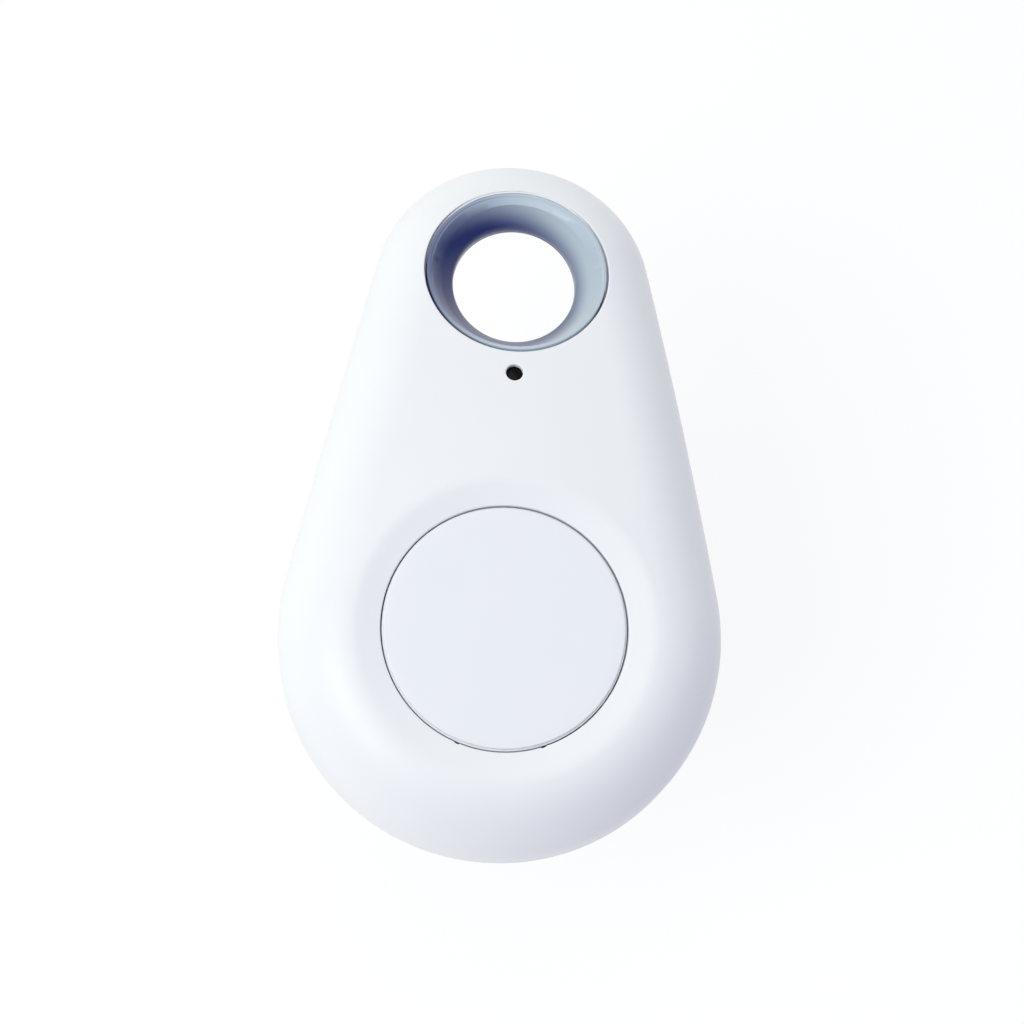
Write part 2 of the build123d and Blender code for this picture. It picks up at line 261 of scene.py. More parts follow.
def turned(name: str, profile: list[tuple[float, float]], count: int = 96,
           centre: tuple[float, float] = (0.0, 0.0)) -> bpy.types.Object:
    """Solid of revolution: each (radius, height) of the profile becomes a level circle.

    Args:
        name: the piece's name.
        profile: (radius, height) pairs along the section; ends on the axis are closed to a point.
        count: points round each circle.
        centre: x and y of the axis.

    Returns:
        The new object.
    """
    skin = Skin()
    loops = [np.c_[circle(r, count, centre), np.full(count, z)] for r, z in profile if r > 0]
    numbers = [skin.add(loop) for loop in loops]
    for low, high in zip(numbers, numbers[1:]):
        skin.bridge(low, high)
    if profile[0][0] <= 0:
        skin.cap(numbers[0])
        skin.cap(numbers[-1])
    else:
        skin.bridge(numbers[-1], numbers[0])
    return skin.build(name)


def plate(name: str, outer: np.ndarray, holes: list[np.ndarray], low: float, high: float,
          place: Callable[[np.ndarray], np.ndarray] | None = None, soften: float = 0.0) -> bpy.types.Object:
    """Flat plate with upright walls: its outline and holes at two heights, filled and joined.

    Args:
        name: the piece's name.
        outer: closed loop of x and y.
        holes: closed loops of x and y to leave open.
        low: height of the underside.
        high: height of the top.
        place: takes the points to the design's frame, if they aren't in it.
        soften: radius of the edges.

    Returns:
        The new object.
    """
    skin = Skin()
    skin.slab(outer, holes, low, high)
    if place:
        skin.points = [place(points) for points in skin.points if len(points)]
    piece = skin.build(name)
    if soften > 0:
        edges = piece.modifiers.new("edges", "BEVEL")
        edges.width, edges.segments, edges.limit_method = soften * MM, 3, "ANGLE"
    return piece


# ------------------------------------------------------------------------------------- the drop's form


@dataclass(frozen=True)
class Outline:
    """Drop seen from the front: a wide and a narrow round end joined by their common tangents."""

    wide_r: float
    ring_r: float
    wide_y: float
    ring_y: float
    arc_points: int = 220
    tip_points: int = 120
    side_points: int = 56

    @property
    def lean(self) -> float:
        """Angle of the straight sides' normals above the X axis."""
        return math.asin((self.wide_r - self.ring_r) / (self.ring_y - self.wide_y))

    def normals(self) -> tuple[np.ndarray, np.ndarray, np.ndarray]:
        """Walks once round the outline.

        Returns:
            The outward unit normals, the share of the way from the wide end's middle to the narrow
            end's, and the radius at no inset, one for each point.
        """
        lean = self.lean
        wide = np.linspace(math.pi - lean, TAU + lean, self.arc_points, endpoint=False)
        tip = np.linspace(lean, math.pi - lean, self.tip_points, endpoint=False)
        run = np.arange(self.side_points) / self.side_points
        right, left = (np.full(self.side_points, angle) for angle in (lean, math.pi - lean))
        angle = np.concatenate([wide, right, tip, left])
        share = np.concatenate([np.zeros(self.arc_points), run, np.ones(self.tip_points), 1 - run])
        radius = self.wide_r + share * (self.ring_r - self.wide_r)
        return np.c_[np.cos(angle), np.sin(angle)], share, radius

    def loop(self, inset: float | np.ndarray) -> np.ndarray:
        """Points of the outline drawn in by the inset: middle plus (radius less inset) times the normal.

        Args:
            inset: how far in, as one number or one per point.

        Returns:
            flat points, one per row.
        """
        normal, share, radius = self.normals()
        middle = np.c_[np.zeros(len(share)), self.wide_y + share * (self.ring_y - self.wide_y)]
        return middle + (radius - inset)[:, None] * normal

    def nearest(self, flat: np.ndarray) -> tuple[np.ndarray, np.ndarray]:
        """How far inside the outline points lie, and the outline's normal beside each.

        Args:
            flat: flat points, one per row.

        Returns:
            the depths inside the outline, and the outward normals.
        """
        lean, along = self.lean, flat[:, 1]
        side = np.where(flat[:, 0] < 0, -1.0, 1.0)
        slant = np.c_[side * math.cos(lean), np.full(len(flat), math.sin(lean))]
        drift = np.abs(flat[:, 0]) * math.tan(lean)
        from_wide = flat - [0, self.wide_y]
        from_ring = flat - [0, self.ring_y]
        length_wide = np.maximum(np.linalg.norm(from_wide, axis=1), 1e-9)
        length_ring = np.maximum(np.linalg.norm(from_ring, axis=1), 1e-9)
        at_wide = along - self.wide_y < drift
        at_ring = along - self.ring_y > drift
        depth = self.wide_r - (from_wide * slant).sum(1)
        depth = np.where(at_wide, self.wide_r - length_wide, depth)
        depth = np.where(at_ring, self.ring_r - length_ring, depth)
        normal = np.where(at_wide[:, None], from_wide / length_wide[:, None], slant)
        normal = np.where(at_ring[:, None], from_ring / length_ring[:, None], normal)
        return depth, normal


@dataclass(frozen=True)
class Crown:
    """One face of the housing: part of a sphere, rounded into an upright wall by a rolling ball.

    Heights here are along the face's own outward direction, so that front and back share the formulas.
    """

    outline: Outline
    side: Side
    apex: float
    radius: float
    middle_y: float
    ball: float
    land: float = math.inf

    def ball_centre(self, flat: np.ndarray) -> np.ndarray:
        """Height of the rolling ball's centre: on the sphere's concentric one, smaller by the ball."""
        off = flat - [0, self.middle_y]
        return self.apex - self.radius + np.sqrt((self.radius - self.ball) ** 2 - (off**2).sum(1))

    def round_edge(self, inset: float, turn: float | np.ndarray) -> np.ndarray:
        """Points of the rounded edge: the ball's centre plus its radius along a direction that turns
        from the wall's normal towards the sphere's.

        Args:
            inset: how far the surface is drawn in.
            turn: angle turned from the wall's normal, in radians.

        Returns:
            Rows of x, y, height.
        """
        wall, _, _ = self.outline.normals()
        flat = self.outline.loop(self.ball)
        centre = np.c_[flat, self.ball_centre(flat)]
        crown = centre - [0, self.middle_y, self.apex - self.radius]
        crown /= np.linalg.norm(crown, axis=1)[:, None]
        wall = np.c_[wall, np.zeros(len(wall))]
        whole = np.arccos((wall * crown).sum(1))
        turn = np.minimum(turn, whole)
        to_wall, to_crown = (np.sin(part) / np.sin(whole) for part in (whole - turn, turn))
        mix = to_wall[:, None] * wall + to_crown[:, None] * crown
        return centre + (self.ball - inset) * mix

    def full_turn(self) -> np.ndarray:
        """Angle of the rounded edge from wall to sphere, one for each outline point.

        Returns:
            one angle per outline point, in radians.
        """
        wall, _, _ = self.outline.normals()
        flat = self.outline.loop(self.ball)
        off = flat - [0, self.middle_y]
        return np.arccos((wall * off).sum(1) / (self.radius - self.ball))

    def height(self, flat: np.ndarray, inset: float = 0.0) -> np.ndarray:
        """Height of the face over points: the sphere, or near the edge the rolling ball's top, which a
        climbing path of its centre stretches by the slope's hypotenuse.

        Args:
            flat: flat points, one per row.
            inset: how far the face is drawn in along its normal.

        Returns:
            one height per point.
        """
        off = flat - [0, self.middle_y]
        sphere = self.apex - self.radius + np.sqrt((self.radius - inset) ** 2 - (off**2).sum(1))
        depth, normal = self.outline.nearest(flat)
        reach = np.clip(self.ball - depth, 0, self.ball - inset)
        centre_flat = flat - normal * reach[:, None]
        away = centre_flat - [0, self.middle_y]
        centre = self.ball_centre(centre_flat)
        along = normal[:, ::-1] * [1, -1]
        climb = (away * along).sum(1) / (centre - self.apex + self.radius)
        edge = centre + np.sqrt(np.maximum((self.ball - inset) ** 2 - reach**2, 0)) * np.sqrt(1 + climb**2)
        meets = (self.ball - inset) * (normal * away).sum(1) / (self.radius - self.ball)
        return np.minimum(np.where(reach > np.maximum(meets, 0), edge, sphere), self.land - inset)

    def place(self, flat: np.ndarray, inset: float = 0.0) -> np.ndarray:
        """Points of the face over flat points, in the design's frame."""
        return self.upright(np.c_[flat, self.height(flat, inset)])

    def upright(self, points: np.ndarray) -> np.ndarray:
        """Turns the face's own heights into the design's Z."""
        return points * [1, 1, self.side.value]


def spread(area: np.ndarray, keep_off: list[tuple[np.ndarray, float]], pitch: float) -> np.ndarray:
    """Fills an area with a honeycomb of points.

    Args:
        area: closed loop of x and y round the area.
        keep_off: loops of x and y with the distance to keep from each.
        pitch: distance between neighbouring points.

    Returns:
        Rows of x and y.
    """
    low, high = area.min(0), area.max(0)
    rows = np.arange(low[1], high[1], pitch * math.sqrt(0.75))
    cols = np.arange(low[0], high[0], pitch)
    grid_x, grid_y = np.meshgrid(cols, rows)
    grid_x = grid_x + (np.arange(len(rows)) % 2)[:, None] * pitch / 2
    points = np.c_[grid_x.ravel(), grid_y.ravel()]
    points = points[inside(points, area)]
    for loop, gap in keep_off:
        near = np.full(len(points), np.inf)
        for block in np.array_split(loop, max(1, len(loop) // 64)):
            near = np.minimum(near, np.linalg.norm(points[:, None] - block[None], axis=2).min(1))
        clear = near > gap
        if loop is not area:
            clear &= ~inside(points, loop)
        points = points[clear]
    return points


# ------------------------------------------------------------------------------------ driving sizes

LOW, HIGH = (np.array(corner) / MM for corner in CAD_BOX)
BORE = next(mount for mount in frame["record"]["mounts"] if mount["kind"] == "bore")
HOLE = np.array(BORE["pos_m"][:2]) / MM
BORE_R = BORE["dims"]["r_mm"]
BORE_LOW = BORE["pos_m"][2] / MM - 0.4
BORE_TOP = BORE_LOW + BORE["dims"]["length_mm"]
SPLIT_Z = float(node_box("front_shell")[0][2])
BUTTON_Y = float(node_centre("switch_plunger")[1])
WINDOW_Y = float(node_centre("lamp_base")[1]) + 0.25
FLARE = math.tan(math.radians(27))

RING_R = 10.2
WIDE_R = float(HIGH[0] - LOW[0]) / 2
DROP = Outline(WIDE_R, RING_R, float(LOW[1]) + WIDE_R, float(HIGH[1]) - RING_R)
FRONT = Crown(DROP, Side.FRONT, float(HIGH[2]), 112.0, -1.0, 5.2)
BACK = Crown(DROP, Side.BACK, 0.3, 250.0, -5.0, 2.0, land=0.0)
WALL = 1.2


@dataclass(frozen=True)
class ButtonAxis:
    """The line through the button's middle, square to the front's sphere and so through its centre."""

    y: float = BUTTON_Y

    @property
    def lean(self) -> float:
        """Angle of the line from upright, towards the wide end."""
        return math.asin((FRONT.middle_y - self.y) / FRONT.radius)

    def place(self, points: np.ndarray) -> np.ndarray:
        """Takes points given about the line, from where it leaves the sphere, to the design's frame.

        Args:
            points: points given about the line.

        Returns:
            the points in the design's frame.
        """
        lean = self.lean
        foot = [0, self.y, FRONT.apex - FRONT.radius + FRONT.radius * math.cos(lean)]
        sine, cosine = math.sin(lean), math.cos(lean)
        turn = np.array([[1, 0, 0], [0, cosine, -sine], [0, sine, cosine]])
        return points @ turn.T + foot

    def sphere(self, radius: np.ndarray | float, inset: float = 0.0) -> np.ndarray | float:
        """Height of the crown's sphere along the line at a distance from it, at or below zero."""
        return np.sqrt((FRONT.radius - inset) ** 2 - np.square(radius)) - FRONT.radius


AXIS = ButtonAxis()


def wall_inset(height: np.ndarray) -> np.ndarray:
    """How far the outer wall is drawn in at each outline point's height by the back's rounded edge.

    Args:
        height: one height for each outline point.

    Returns:
        one inset for each outline point.
    """
    centre = -BACK.ball_centre(DROP.loop(BACK.ball))
    below = np.clip(centre - height, 0, BACK.ball)
    return BACK.ball - np.sqrt(BACK.ball**2 - below**2)


def level_loop(inset: float | np.ndarray, height: float | np.ndarray) -> np.ndarray:
    """The outline drawn in by the inset, at a height of its own for each point or one for all."""
    flat = DROP.loop(inset)
    return np.c_[flat, np.broadcast_to(height, len(flat))]


def ring(radius: float | np.ndarray, height: float | np.ndarray, count: int,
         centre: np.ndarray | tuple[float, float] = HOLE) -> np.ndarray:
    """A circle of points whose radius and height may differ from point to point.

    Args:
        radius: one radius, or one per point.
        height: one height, or one per point.
        count: how many points.
        centre: the middle of the circle.

    Returns:
        the points, one per row.
    """
    angle = np.arange(count) * TAU / count
    radius = np.broadcast_to(radius, count)
    flat = np.c_[np.cos(angle) * radius, np.sin(angle) * radius] + centre
    return np.c_[flat, np.broadcast_to(height, count)]


def on_face(face: Crown, radius: float, count: int, centre: np.ndarray | tuple[float, float],
            drop: float = 0.0, inset: float = 0.0) -> np.ndarray:
    """A circle laid on a crowned face, sunk into it by a little where an edge is rounded over."""
    flat = ring(radius, 0.0, count, centre)[:, :2]
    return face.upright(np.c_[flat, face.height(flat, inset) - drop])


def under_face(radius: float, height: float, count: int, drop: float) -> np.ndarray:
    """Level circle round the keyring hole, held under the front where that falls away to the tip.

    Args:
        radius: the circle's radius.
        height: its height where the face leaves room.
        count: points round it.
        drop: how far it stays under the face.
    """
    points, face = ring(radius, height, count), on_face(FRONT, radius, count, HOLE, drop)
    return np.c_[points[:, :2], np.minimum(points[:, 2], face[:, 2])]


# ------------------------------------------------------------------------------------- front shell


@dataclass(frozen=True)
class FrontShell:
    """Crowned front half: outer skin, button dish and well, liner seat, window hole and inner skin."""

    dish_r: float = 10.3
    well_r: float = 8.42
    dish_deep: float = 0.75
    dish_blend: float = 0.09
    mouth_r: float = 6.62
    seat_r: float = 6.5
    seat_top: float = 8.6
    boss_r: float = 7.5
    boss_low: float = 5.5
    window_r: float = 0.6
    edge_inset: float = 3.15
    inner_inset: float = 2.4
    slit_x: float = 2.9
    slit_deep: float = 0.07
    slit_half: float = 0.15
    edge_r: float = 0.09
    edge_rise: float = 0.012
    bore_play: float = 0.4
    seam: float = 0.012
    well_points: int = 480
    mouth_points: int = 192
    window_points: int = 48
    apart: float = 0.02
    pitch: float = 0.42

    def dish(self, radius: float) -> float:
        """Depth of the dish's section: the lower of a cone and the sphere, blended where they cross.

        Args:
            radius: distances from the button's line.

        Returns:
            one depth per distance.
        """
        rim = float(AXIS.sphere(self.dish_r))
        cone = -self.dish_deep + (radius - self.well_r) * (self.dish_deep + rim) / (self.dish_r - self.well_r)
        ball = float(AXIS.sphere(radius))
        share = min(max(0.5 + 0.5 * (ball - cone) / self.dish_blend, 0.0), 1.0)
        return ball + (cone - ball) * share - self.dish_blend * share * (1 - share)

    def well_ring(self, radius: float, depth: float, slit: float = 0.0) -> np.ndarray:
        """Circle about the button's line that bulges outward at the two slits beside the tongue.

        Args:
            radius: radius of the circle away from the slits.
            depth: height along the button's line.
            slit: how far the circle bulges at each slit.

        Returns:
            the points in the design's frame.
        """
        angle = np.arange(self.well_points) * TAU / self.well_points
        slit_angle = math.asin(self.slit_x / self.well_r)
        from_foot = np.abs((angle - 1.5 * math.pi + math.pi) % TAU - math.pi)
        bulge = slit * np.exp(-(((from_foot - slit_angle) * self.well_r / self.slit_half) ** 4))
        reach = radius + bulge
        return AXIS.place(np.c_[reach * np.cos(angle), reach * np.sin(angle), np.full(len(angle), depth)])

    def dish_ring(self, radius: float) -> np.ndarray:
        """Circle of the dish, lowered where the housing's rounded edge already lies under the sphere.

        Args:
            radius: radius of the circle about the button's line.

        Returns:
            the points in the design's frame.
        """
        points = self.well_ring(radius, self.dish(radius))
        sphere = self.well_ring(radius, float(AXIS.sphere(radius)))
        edge_drop = sphere[:, 2] - FRONT.height(sphere[:, :2])
        share = np.clip((radius - self.well_r) / (self.dish_r + 0.6 - self.well_r), 0, 1)
        return points - np.c_[np.zeros((len(points), 2)), edge_drop * share]

    def well(self, skin: Skin) -> tuple[np.ndarray, np.ndarray]:
        """Lays the dish and the well's wall.

        Returns:
            The numbers of the loops that meet the outer and the inner skin.

        Args:
            skin: the mesh that the loops are added to.
        """
        outside = [1.2, 1.0, 0.8, 0.65, 0.5, 0.4, 0.3, 0.2, 0.1, 0.0, -0.1]
        reach = np.concatenate([outside, -np.linspace(0.2, 1.7, 9)])
        outer = skin.add(self.dish_ring(self.dish_r + reach[0]))
        loops = [self.dish_ring(self.dish_r + r) for r in reach[1:]]
        edge = self.dish(self.well_r)
        for turn in np.linspace(0.1, 1.0, 5) * math.pi / 2:
            r = self.well_r + self.edge_r * (1 - math.sin(turn))
            depth = edge + self.edge_rise - self.edge_r * (1 - math.cos(turn))
            loops.append(self.well_ring(r, depth, self.slit_deep))
        inner_depth = float(AXIS.sphere(self.well_r, WALL))
        for depth in np.linspace(edge - 0.12, inner_depth, 4):
            loops.append(self.well_ring(self.well_r, float(depth), self.slit_deep))
        return outer, skin.sleeve(loops, outer)

    def mouth(self, skin: Skin) -> tuple[np.ndarray, np.ndarray]:
        """Lays the liner's seat and boss round the keyring hole, from the outer to the inner skin.

        Args:
            skin: the mesh that the loops are added to.

        Returns:
            the point numbers of the outer edge and of the inner edge.
        """
        count, gap = self.mouth_points, BORE_R + self.bore_play
        outer = skin.add(on_face(FRONT, self.mouth_r + 0.2, count, HOLE))
        loops = [on_face(FRONT, self.mouth_r + 0.09, count, HOLE),
                 on_face(FRONT, self.mouth_r + 0.05, count, HOLE, 0.008),
                 on_face(FRONT, self.mouth_r + 0.02, count, HOLE, 0.03),
                 on_face(FRONT, self.mouth_r, count, HOLE, 0.08)]
        floor = float(node_box("keyring_liner")[0][2]) - 0.02
        section = [(self.mouth_r, self.seat_top), (self.seat_r, self.seat_top - 0.02), (self.seat_r, floor),
                   (gap, floor - 0.02), (gap, self.boss_low + 0.02), (gap + 0.1, self.boss_low),
                   (self.boss_r - 0.12, self.boss_low), (self.boss_r, self.boss_low + 0.12)]
        loops += [under_face(r, z, count, 0.1 + self.apart * step) for step, (r, z) in enumerate(section)]
        loops.append(on_face(FRONT, self.boss_r, count, HOLE, inset=WALL))
        return outer, skin.sleeve(loops, outer)

    def window(self, skin: Skin) -> tuple[np.ndarray, np.ndarray]:
        """Lays the indicator hole's edge and wall.

        Args:
            skin: the mesh that the loops are added to.

        Returns:
            the point numbers of the outer edge and of the inner edge.
        """
        centre = (0.0, WINDOW_Y)
        outer = skin.add(on_face(FRONT, 1.2, self.window_points, centre))
        steps = [(0.9, 0.0), (0.74, 0.0), (0.66, 0.006), (0.62, 0.028), (0.6, 0.075)]
        loops = [on_face(FRONT, r, self.window_points, centre, sunk) for r, sunk in steps]
        loops.append(on_face(FRONT, self.window_r, self.window_points, centre, inset=WALL))
        return outer, skin.sleeve(loops, outer)

    def edge(self, skin: Skin) -> tuple[np.ndarray, np.ndarray]:
        """Lays the rounded edge, the outer wall, the seam's lip and the inner wall.

        Args:
            skin: the mesh that the loops are added to.

        Returns:
            the point numbers of the outer edge and of the inner edge.
        """
        start = math.acos(1 - self.edge_inset / FRONT.ball)
        outer = skin.add(FRONT.round_edge(0.0, start))
        loops = [FRONT.round_edge(0.0, turn) for turn in np.linspace(start, 0, 17)[1:]]
        top = loops[-1][:, 2]
        for share in np.linspace(0, 1, 7)[1:]:
            height = top + (SPLIT_Z + 0.12 - top) * share
            loops.append(level_loop(wall_inset(height), height))
        foot = wall_inset(np.full(len(top), SPLIT_Z))
        rim = SPLIT_Z + self.seam
        for drawn, height in ((0.012, 0.07), (0.04, 0.03), (0.09, 0.0)):
            loops.append(level_loop(foot + drawn, rim + height))
        inner_top = FRONT.round_edge(WALL, 0.0)[:, 2]
        loops.append(level_loop(WALL - 0.05, rim))
        loops.append(level_loop(WALL, rim + 0.05))
        loops.append(level_loop(WALL, (rim + inner_top) / 2))
        stop = math.acos((FRONT.ball - self.inner_inset) / (FRONT.ball - WALL))
        loops += [FRONT.round_edge(WALL, turn) for turn in np.linspace(0, stop, 8)]
        return outer, skin.sleeve(loops, outer)

    def build(self) -> bpy.types.Object:
        """Makes the shell as one closed mesh: its outside, the openings' walls and its inside.

        Returns:
            the piece as a mesh object.
        """
        skin = Skin()
        pairs = [self.edge(skin), self.well(skin), self.mouth(skin), self.window(skin)]
        everything = np.concatenate(skin.points)
        for which, inset, gap in ((0, 0.0, 0.3), (1, WALL, 0.5)):
            edges = [pair[which] for pair in pairs]
            loops = [everything[numbers][:, :2] for numbers in edges]
            pitch = self.pitch * (1 + which)
            flat = spread(loops[0], [(loop, gap) for loop in loops], pitch)
            skin.patch(edges, FRONT.place(flat, inset))
        return skin.build("front_shell_skin")


# -------------------------------------------------------------------------------------- back cover


@dataclass(frozen=True)
class BackCover:
    """Shallow tray: outer skin with its flat land, the hole's flare, the floor inside and the lip."""

    play: float = 0.1
    lip: float = 0.8
    lip_top: float = 3.4
    chimney_top: float = 5.4
    chimney_wall: float = 1.0
    notch_width: float = 6.0
    notch_deep: float = 0.8
    notch_high: float = 0.7
    seam: float = 0.012
    hole_points: int = 192
    pitch: float = 0.5

    def rim(self) -> np.ndarray:
        """Height of the cover's rim: level, but lower across the fingernail notch at the tip.

        Returns:
            one height per outline point.
        """
        flat = DROP.loop(0.0)
        side = (self.notch_width / 2 - np.abs(flat[:, 0])) / 0.25
        notch = np.clip(side, 0, 1) * (flat[:, 1] > DROP.ring_y)
        return SPLIT_Z - self.seam - self.notch_high * notch

    def flare_ring(self, share: float, wall: float = 0.0, inset: float = 0.0, out: float = 0.0) -> np.ndarray:
        """Circle on the flare's cone, from where it leaves the face at 0 to the chimney's top at 1.

        Args:
            share: way up the cone, from 0 to 1.
            wall: how far outside the cone, in the material.
            inset: how far the face is drawn in where the circle starts.
            out: how far past the edge, out on the face.

        Returns:
            the points, one per row.
        """
        angle = np.arange(self.hole_points) * TAU / self.hole_points
        across = np.c_[np.cos(angle), np.sin(angle)]
        start = np.zeros(len(angle))
        for _ in range(6):
            reach = BORE_R + (BORE_LOW - start) * FLARE + wall
            start = -BACK.height(HOLE + across * reach[:, None], inset)
        height = start + (self.chimney_top - start) * share
        reach = BORE_R + (BORE_LOW - height) * FLARE + wall + out
        flat = HOLE + across * reach[:, None]
        if out > 0:
            height = -BACK.height(flat, inset)
        return np.c_[flat, height]

    def hole(self, skin: Skin) -> tuple[np.ndarray, np.ndarray]:
        """Lays the flare and the chimney round it, from the outer skin to the floor inside.

        Args:
            skin: the mesh that the loops are added to.

        Returns:
            the point numbers of the outer edge and of the inner edge.
        """
        outer = skin.add(self.flare_ring(0.0, out=0.5))
        loops = [self.flare_ring(0.0, out=0.25)]
        soft = self.flare_ring(0.0, out=0.08)
        loops += [soft + [0, 0, 0.012], self.flare_ring(0.012) + [0, 0, 0.03]]
        loops += [self.flare_ring(share) for share in (0.06, 0.3, 0.6, 0.85, 0.99)]
        loops += [self.flare_ring(1.0) + [0, 0, 0.0], self.flare_ring(1.0, self.chimney_wall - 0.08)]
        loops += [self.flare_ring(share, self.chimney_wall, WALL) for share in (0.98, 0.6, 0.3, 0.08)]
        loops.append(self.flare_ring(0.0, self.chimney_wall + 0.1, WALL))
        return outer, skin.sleeve(loops, outer)

    def edge(self, skin: Skin) -> tuple[np.ndarray, np.ndarray]:
        """Lays the rounded edge, the rim with its notch, the lip and the inner wall.

        Args:
            skin: the mesh that the loops are added to.

        Returns:
            the point numbers of the outer edge and of the inner edge.
        """
        rim = self.rim()
        centre = -BACK.ball_centre(DROP.loop(BACK.ball))
        wall = np.maximum(rim - 0.1 - centre, 0)
        first = np.arcsin(np.clip((centre - rim + 0.1) / BACK.ball, 0, 1))
        whole = wall + BACK.ball * (BACK.full_turn() - first)
        loops = []
        for share in np.linspace(1, 0, 15):
            way = share * whole
            turned_in = BACK.upright(BACK.round_edge(0.0, first + np.maximum(way - wall, 0) / BACK.ball))
            upright = level_loop(0.0, rim - 0.1 - way)
            loops.append(np.where((way < wall)[:, None], upright, turned_in))
        outer = skin.add(loops[0])
        foot = wall_inset(rim)
        for drawn, sunk in ((0.012, 0.07), (0.04, 0.03), (0.09, 0.0)):
            loops.append(level_loop(foot + drawn, rim - sunk))
        level = SPLIT_Z - self.seam
        lip_out, lip_in = WALL + self.play, WALL + self.play + self.lip
        loops.append(level_loop(np.maximum(self.notch_deep, foot + 0.1), rim))
        loops.append(level_loop(np.maximum(self.notch_deep, foot + 0.1) + 0.04, level))
        loops += [level_loop(inset, height) for inset, height in (
            (lip_out, level), (lip_out, self.lip_top - 0.2), (lip_out + 0.06, self.lip_top - 0.08),
            (lip_out + 0.18, self.lip_top), (lip_in - 0.15, self.lip_top), (lip_in, self.lip_top - 0.15))]
        floor = -BACK.height(DROP.loop(lip_in), WALL)
        loops += [level_loop(lip_in, floor + 0.2), level_loop(lip_in + 0.06, floor + 0.06)]
        soft = DROP.loop(lip_in + 0.2)
        loops.append(BACK.place(soft, WALL))
        return outer, skin.sleeve(loops[1:], outer)

    def build(self) -> bpy.types.Object:
        """Makes the cover as one closed mesh.

        Returns:
            the piece as a mesh object.
        """
        skin = Skin()
        pairs = [self.edge(skin), self.hole(skin)]
        everything = np.concatenate(skin.points)
        for which, inset, gap in ((0, 0.0, 0.3), (1, WALL, 0.3)):
            edges = [pair[which] for pair in pairs]
            loops = [everything[numbers][:, :2] for numbers in edges]
            flat = spread(loops[0], [(loop, gap) for loop in loops], self.pitch * (1 + which))
            skin.patch(edges, BACK.place(flat, inset))
        return skin.build("back_cover_skin")


# ------------------------------------------------------------------------------------------ button


@dataclass(frozen=True)
class ButtonCap:
    """Round push button: a disc with a soft top edge, its tongue under the shell and its stub."""

    radius: float = 8.2
    deep: float = 0.62
    thick: float = 1.2
    edge: float = 0.07
    crown: float = 0.03
    flange_r: float = 8.34
    flange_top: float = -0.98
    tongue_width: float = 5.3
    tongue_top: float = -1.85
    tongue_thick: float = 0.7
    root: float = -6.7
    pivot: float = -10.5
    stake_x: float = 1.6
    stake_y: float = -9.5
    stake_hole: float = 0.44
    neck_in: float = 0.9
    neck_long: float = 1.2
    stub_r: float = 0.9
    points: int = 288

    def disc(self, skin: Skin) -> None:
        """Lays the disc: rings of a slightly crowned top, a quarter-round edge, the wall and the back.

        Args:
            skin: the mesh that the loops are added to.
        """
        flat_r = self.radius - self.edge
        top = [(r, -self.deep - self.crown * (r / flat_r) ** 2) for r in np.linspace(0.4, flat_r, 12)]
        turns = np.linspace(0, math.pi / 2, 8)[1:]
        low = -self.deep - self.crown
        top += [(flat_r + self.edge * math.sin(t), low - self.edge * (1 - math.cos(t))) for t in turns]
        back = -self.deep - self.thick
        top += [(self.radius, self.flange_top), (self.flange_r - 0.02, self.flange_top - 0.02)]
        top += [(self.flange_r, self.flange_top - 0.06), (self.flange_r, back + 0.06)]
        top += [(self.flange_r - 0.06, back), (2.0, back)]
        loops = [AXIS.place(np.c_[circle(r, self.points), np.full(self.points, z)]) for r, z in top]
        first = skin.add(loops[0])
        skin.cap(first)
        skin.cap(skin.sleeve(loops[1:], first))

    def tongue(self) -> bpy.types.Object:
        """Makes the flat tongue with its softened edges and the two holes for the heat stakes.

        Returns:
            the piece as a mesh object.
        """
        corners = rectangle(0.0, (self.pivot + self.root) / 2, self.tongue_width, self.root - self.pivot)
        holes = [circle(self.stake_hole, 32, (side * self.stake_x, self.stake_y)) for side in (-1, 1)]
        low = self.tongue_top - self.tongue_thick
        return plate("button_tongue", corners, holes, low, self.tongue_top, AXIS.place, soften=0.12)

    def neck(self) -> bpy.types.Object:
        """Makes the short web that joins the tongue to the disc.

        Returns:
            the piece as a mesh object.
        """
        corners = rectangle(0.0, self.neck_in - self.radius, self.tongue_width, self.neck_long)
        low = self.tongue_top - self.tongue_thick
        return plate("button_neck", corners, [], low, -self.deep - 0.45, AXIS.place, soften=0.08)

    def stub(self) -> bpy.types.Object:
        """Makes the stub that bears on the switch.

        Returns:
            the piece as a mesh object.
        """
        low = float(node_box("switch_plunger")[1][2]) + 0.06
        top = float(AXIS.place(np.array([[0.0, 0.0, -self.deep - 0.5]]))[0, 2])
        profile = [(0.0, low), (self.stub_r - 0.1, low), (self.stub_r, low + 0.1)]
        profile += [(self.stub_r, top), (0.0, top)]
        return turned("button_stub", profile, 48, (0.0, BUTTON_Y))

    def build(self) -> list[bpy.types.Object]:
        """Makes every piece of the button.

        Returns:
            the disc, its tongue, its neck and its stub.
        """
        skin = Skin()
        self.disc(skin)
        return [skin.build("button_disc"), self.tongue(), self.neck(), self.stub()]


# ------------------------------------------------------------------------- keyring liner and window


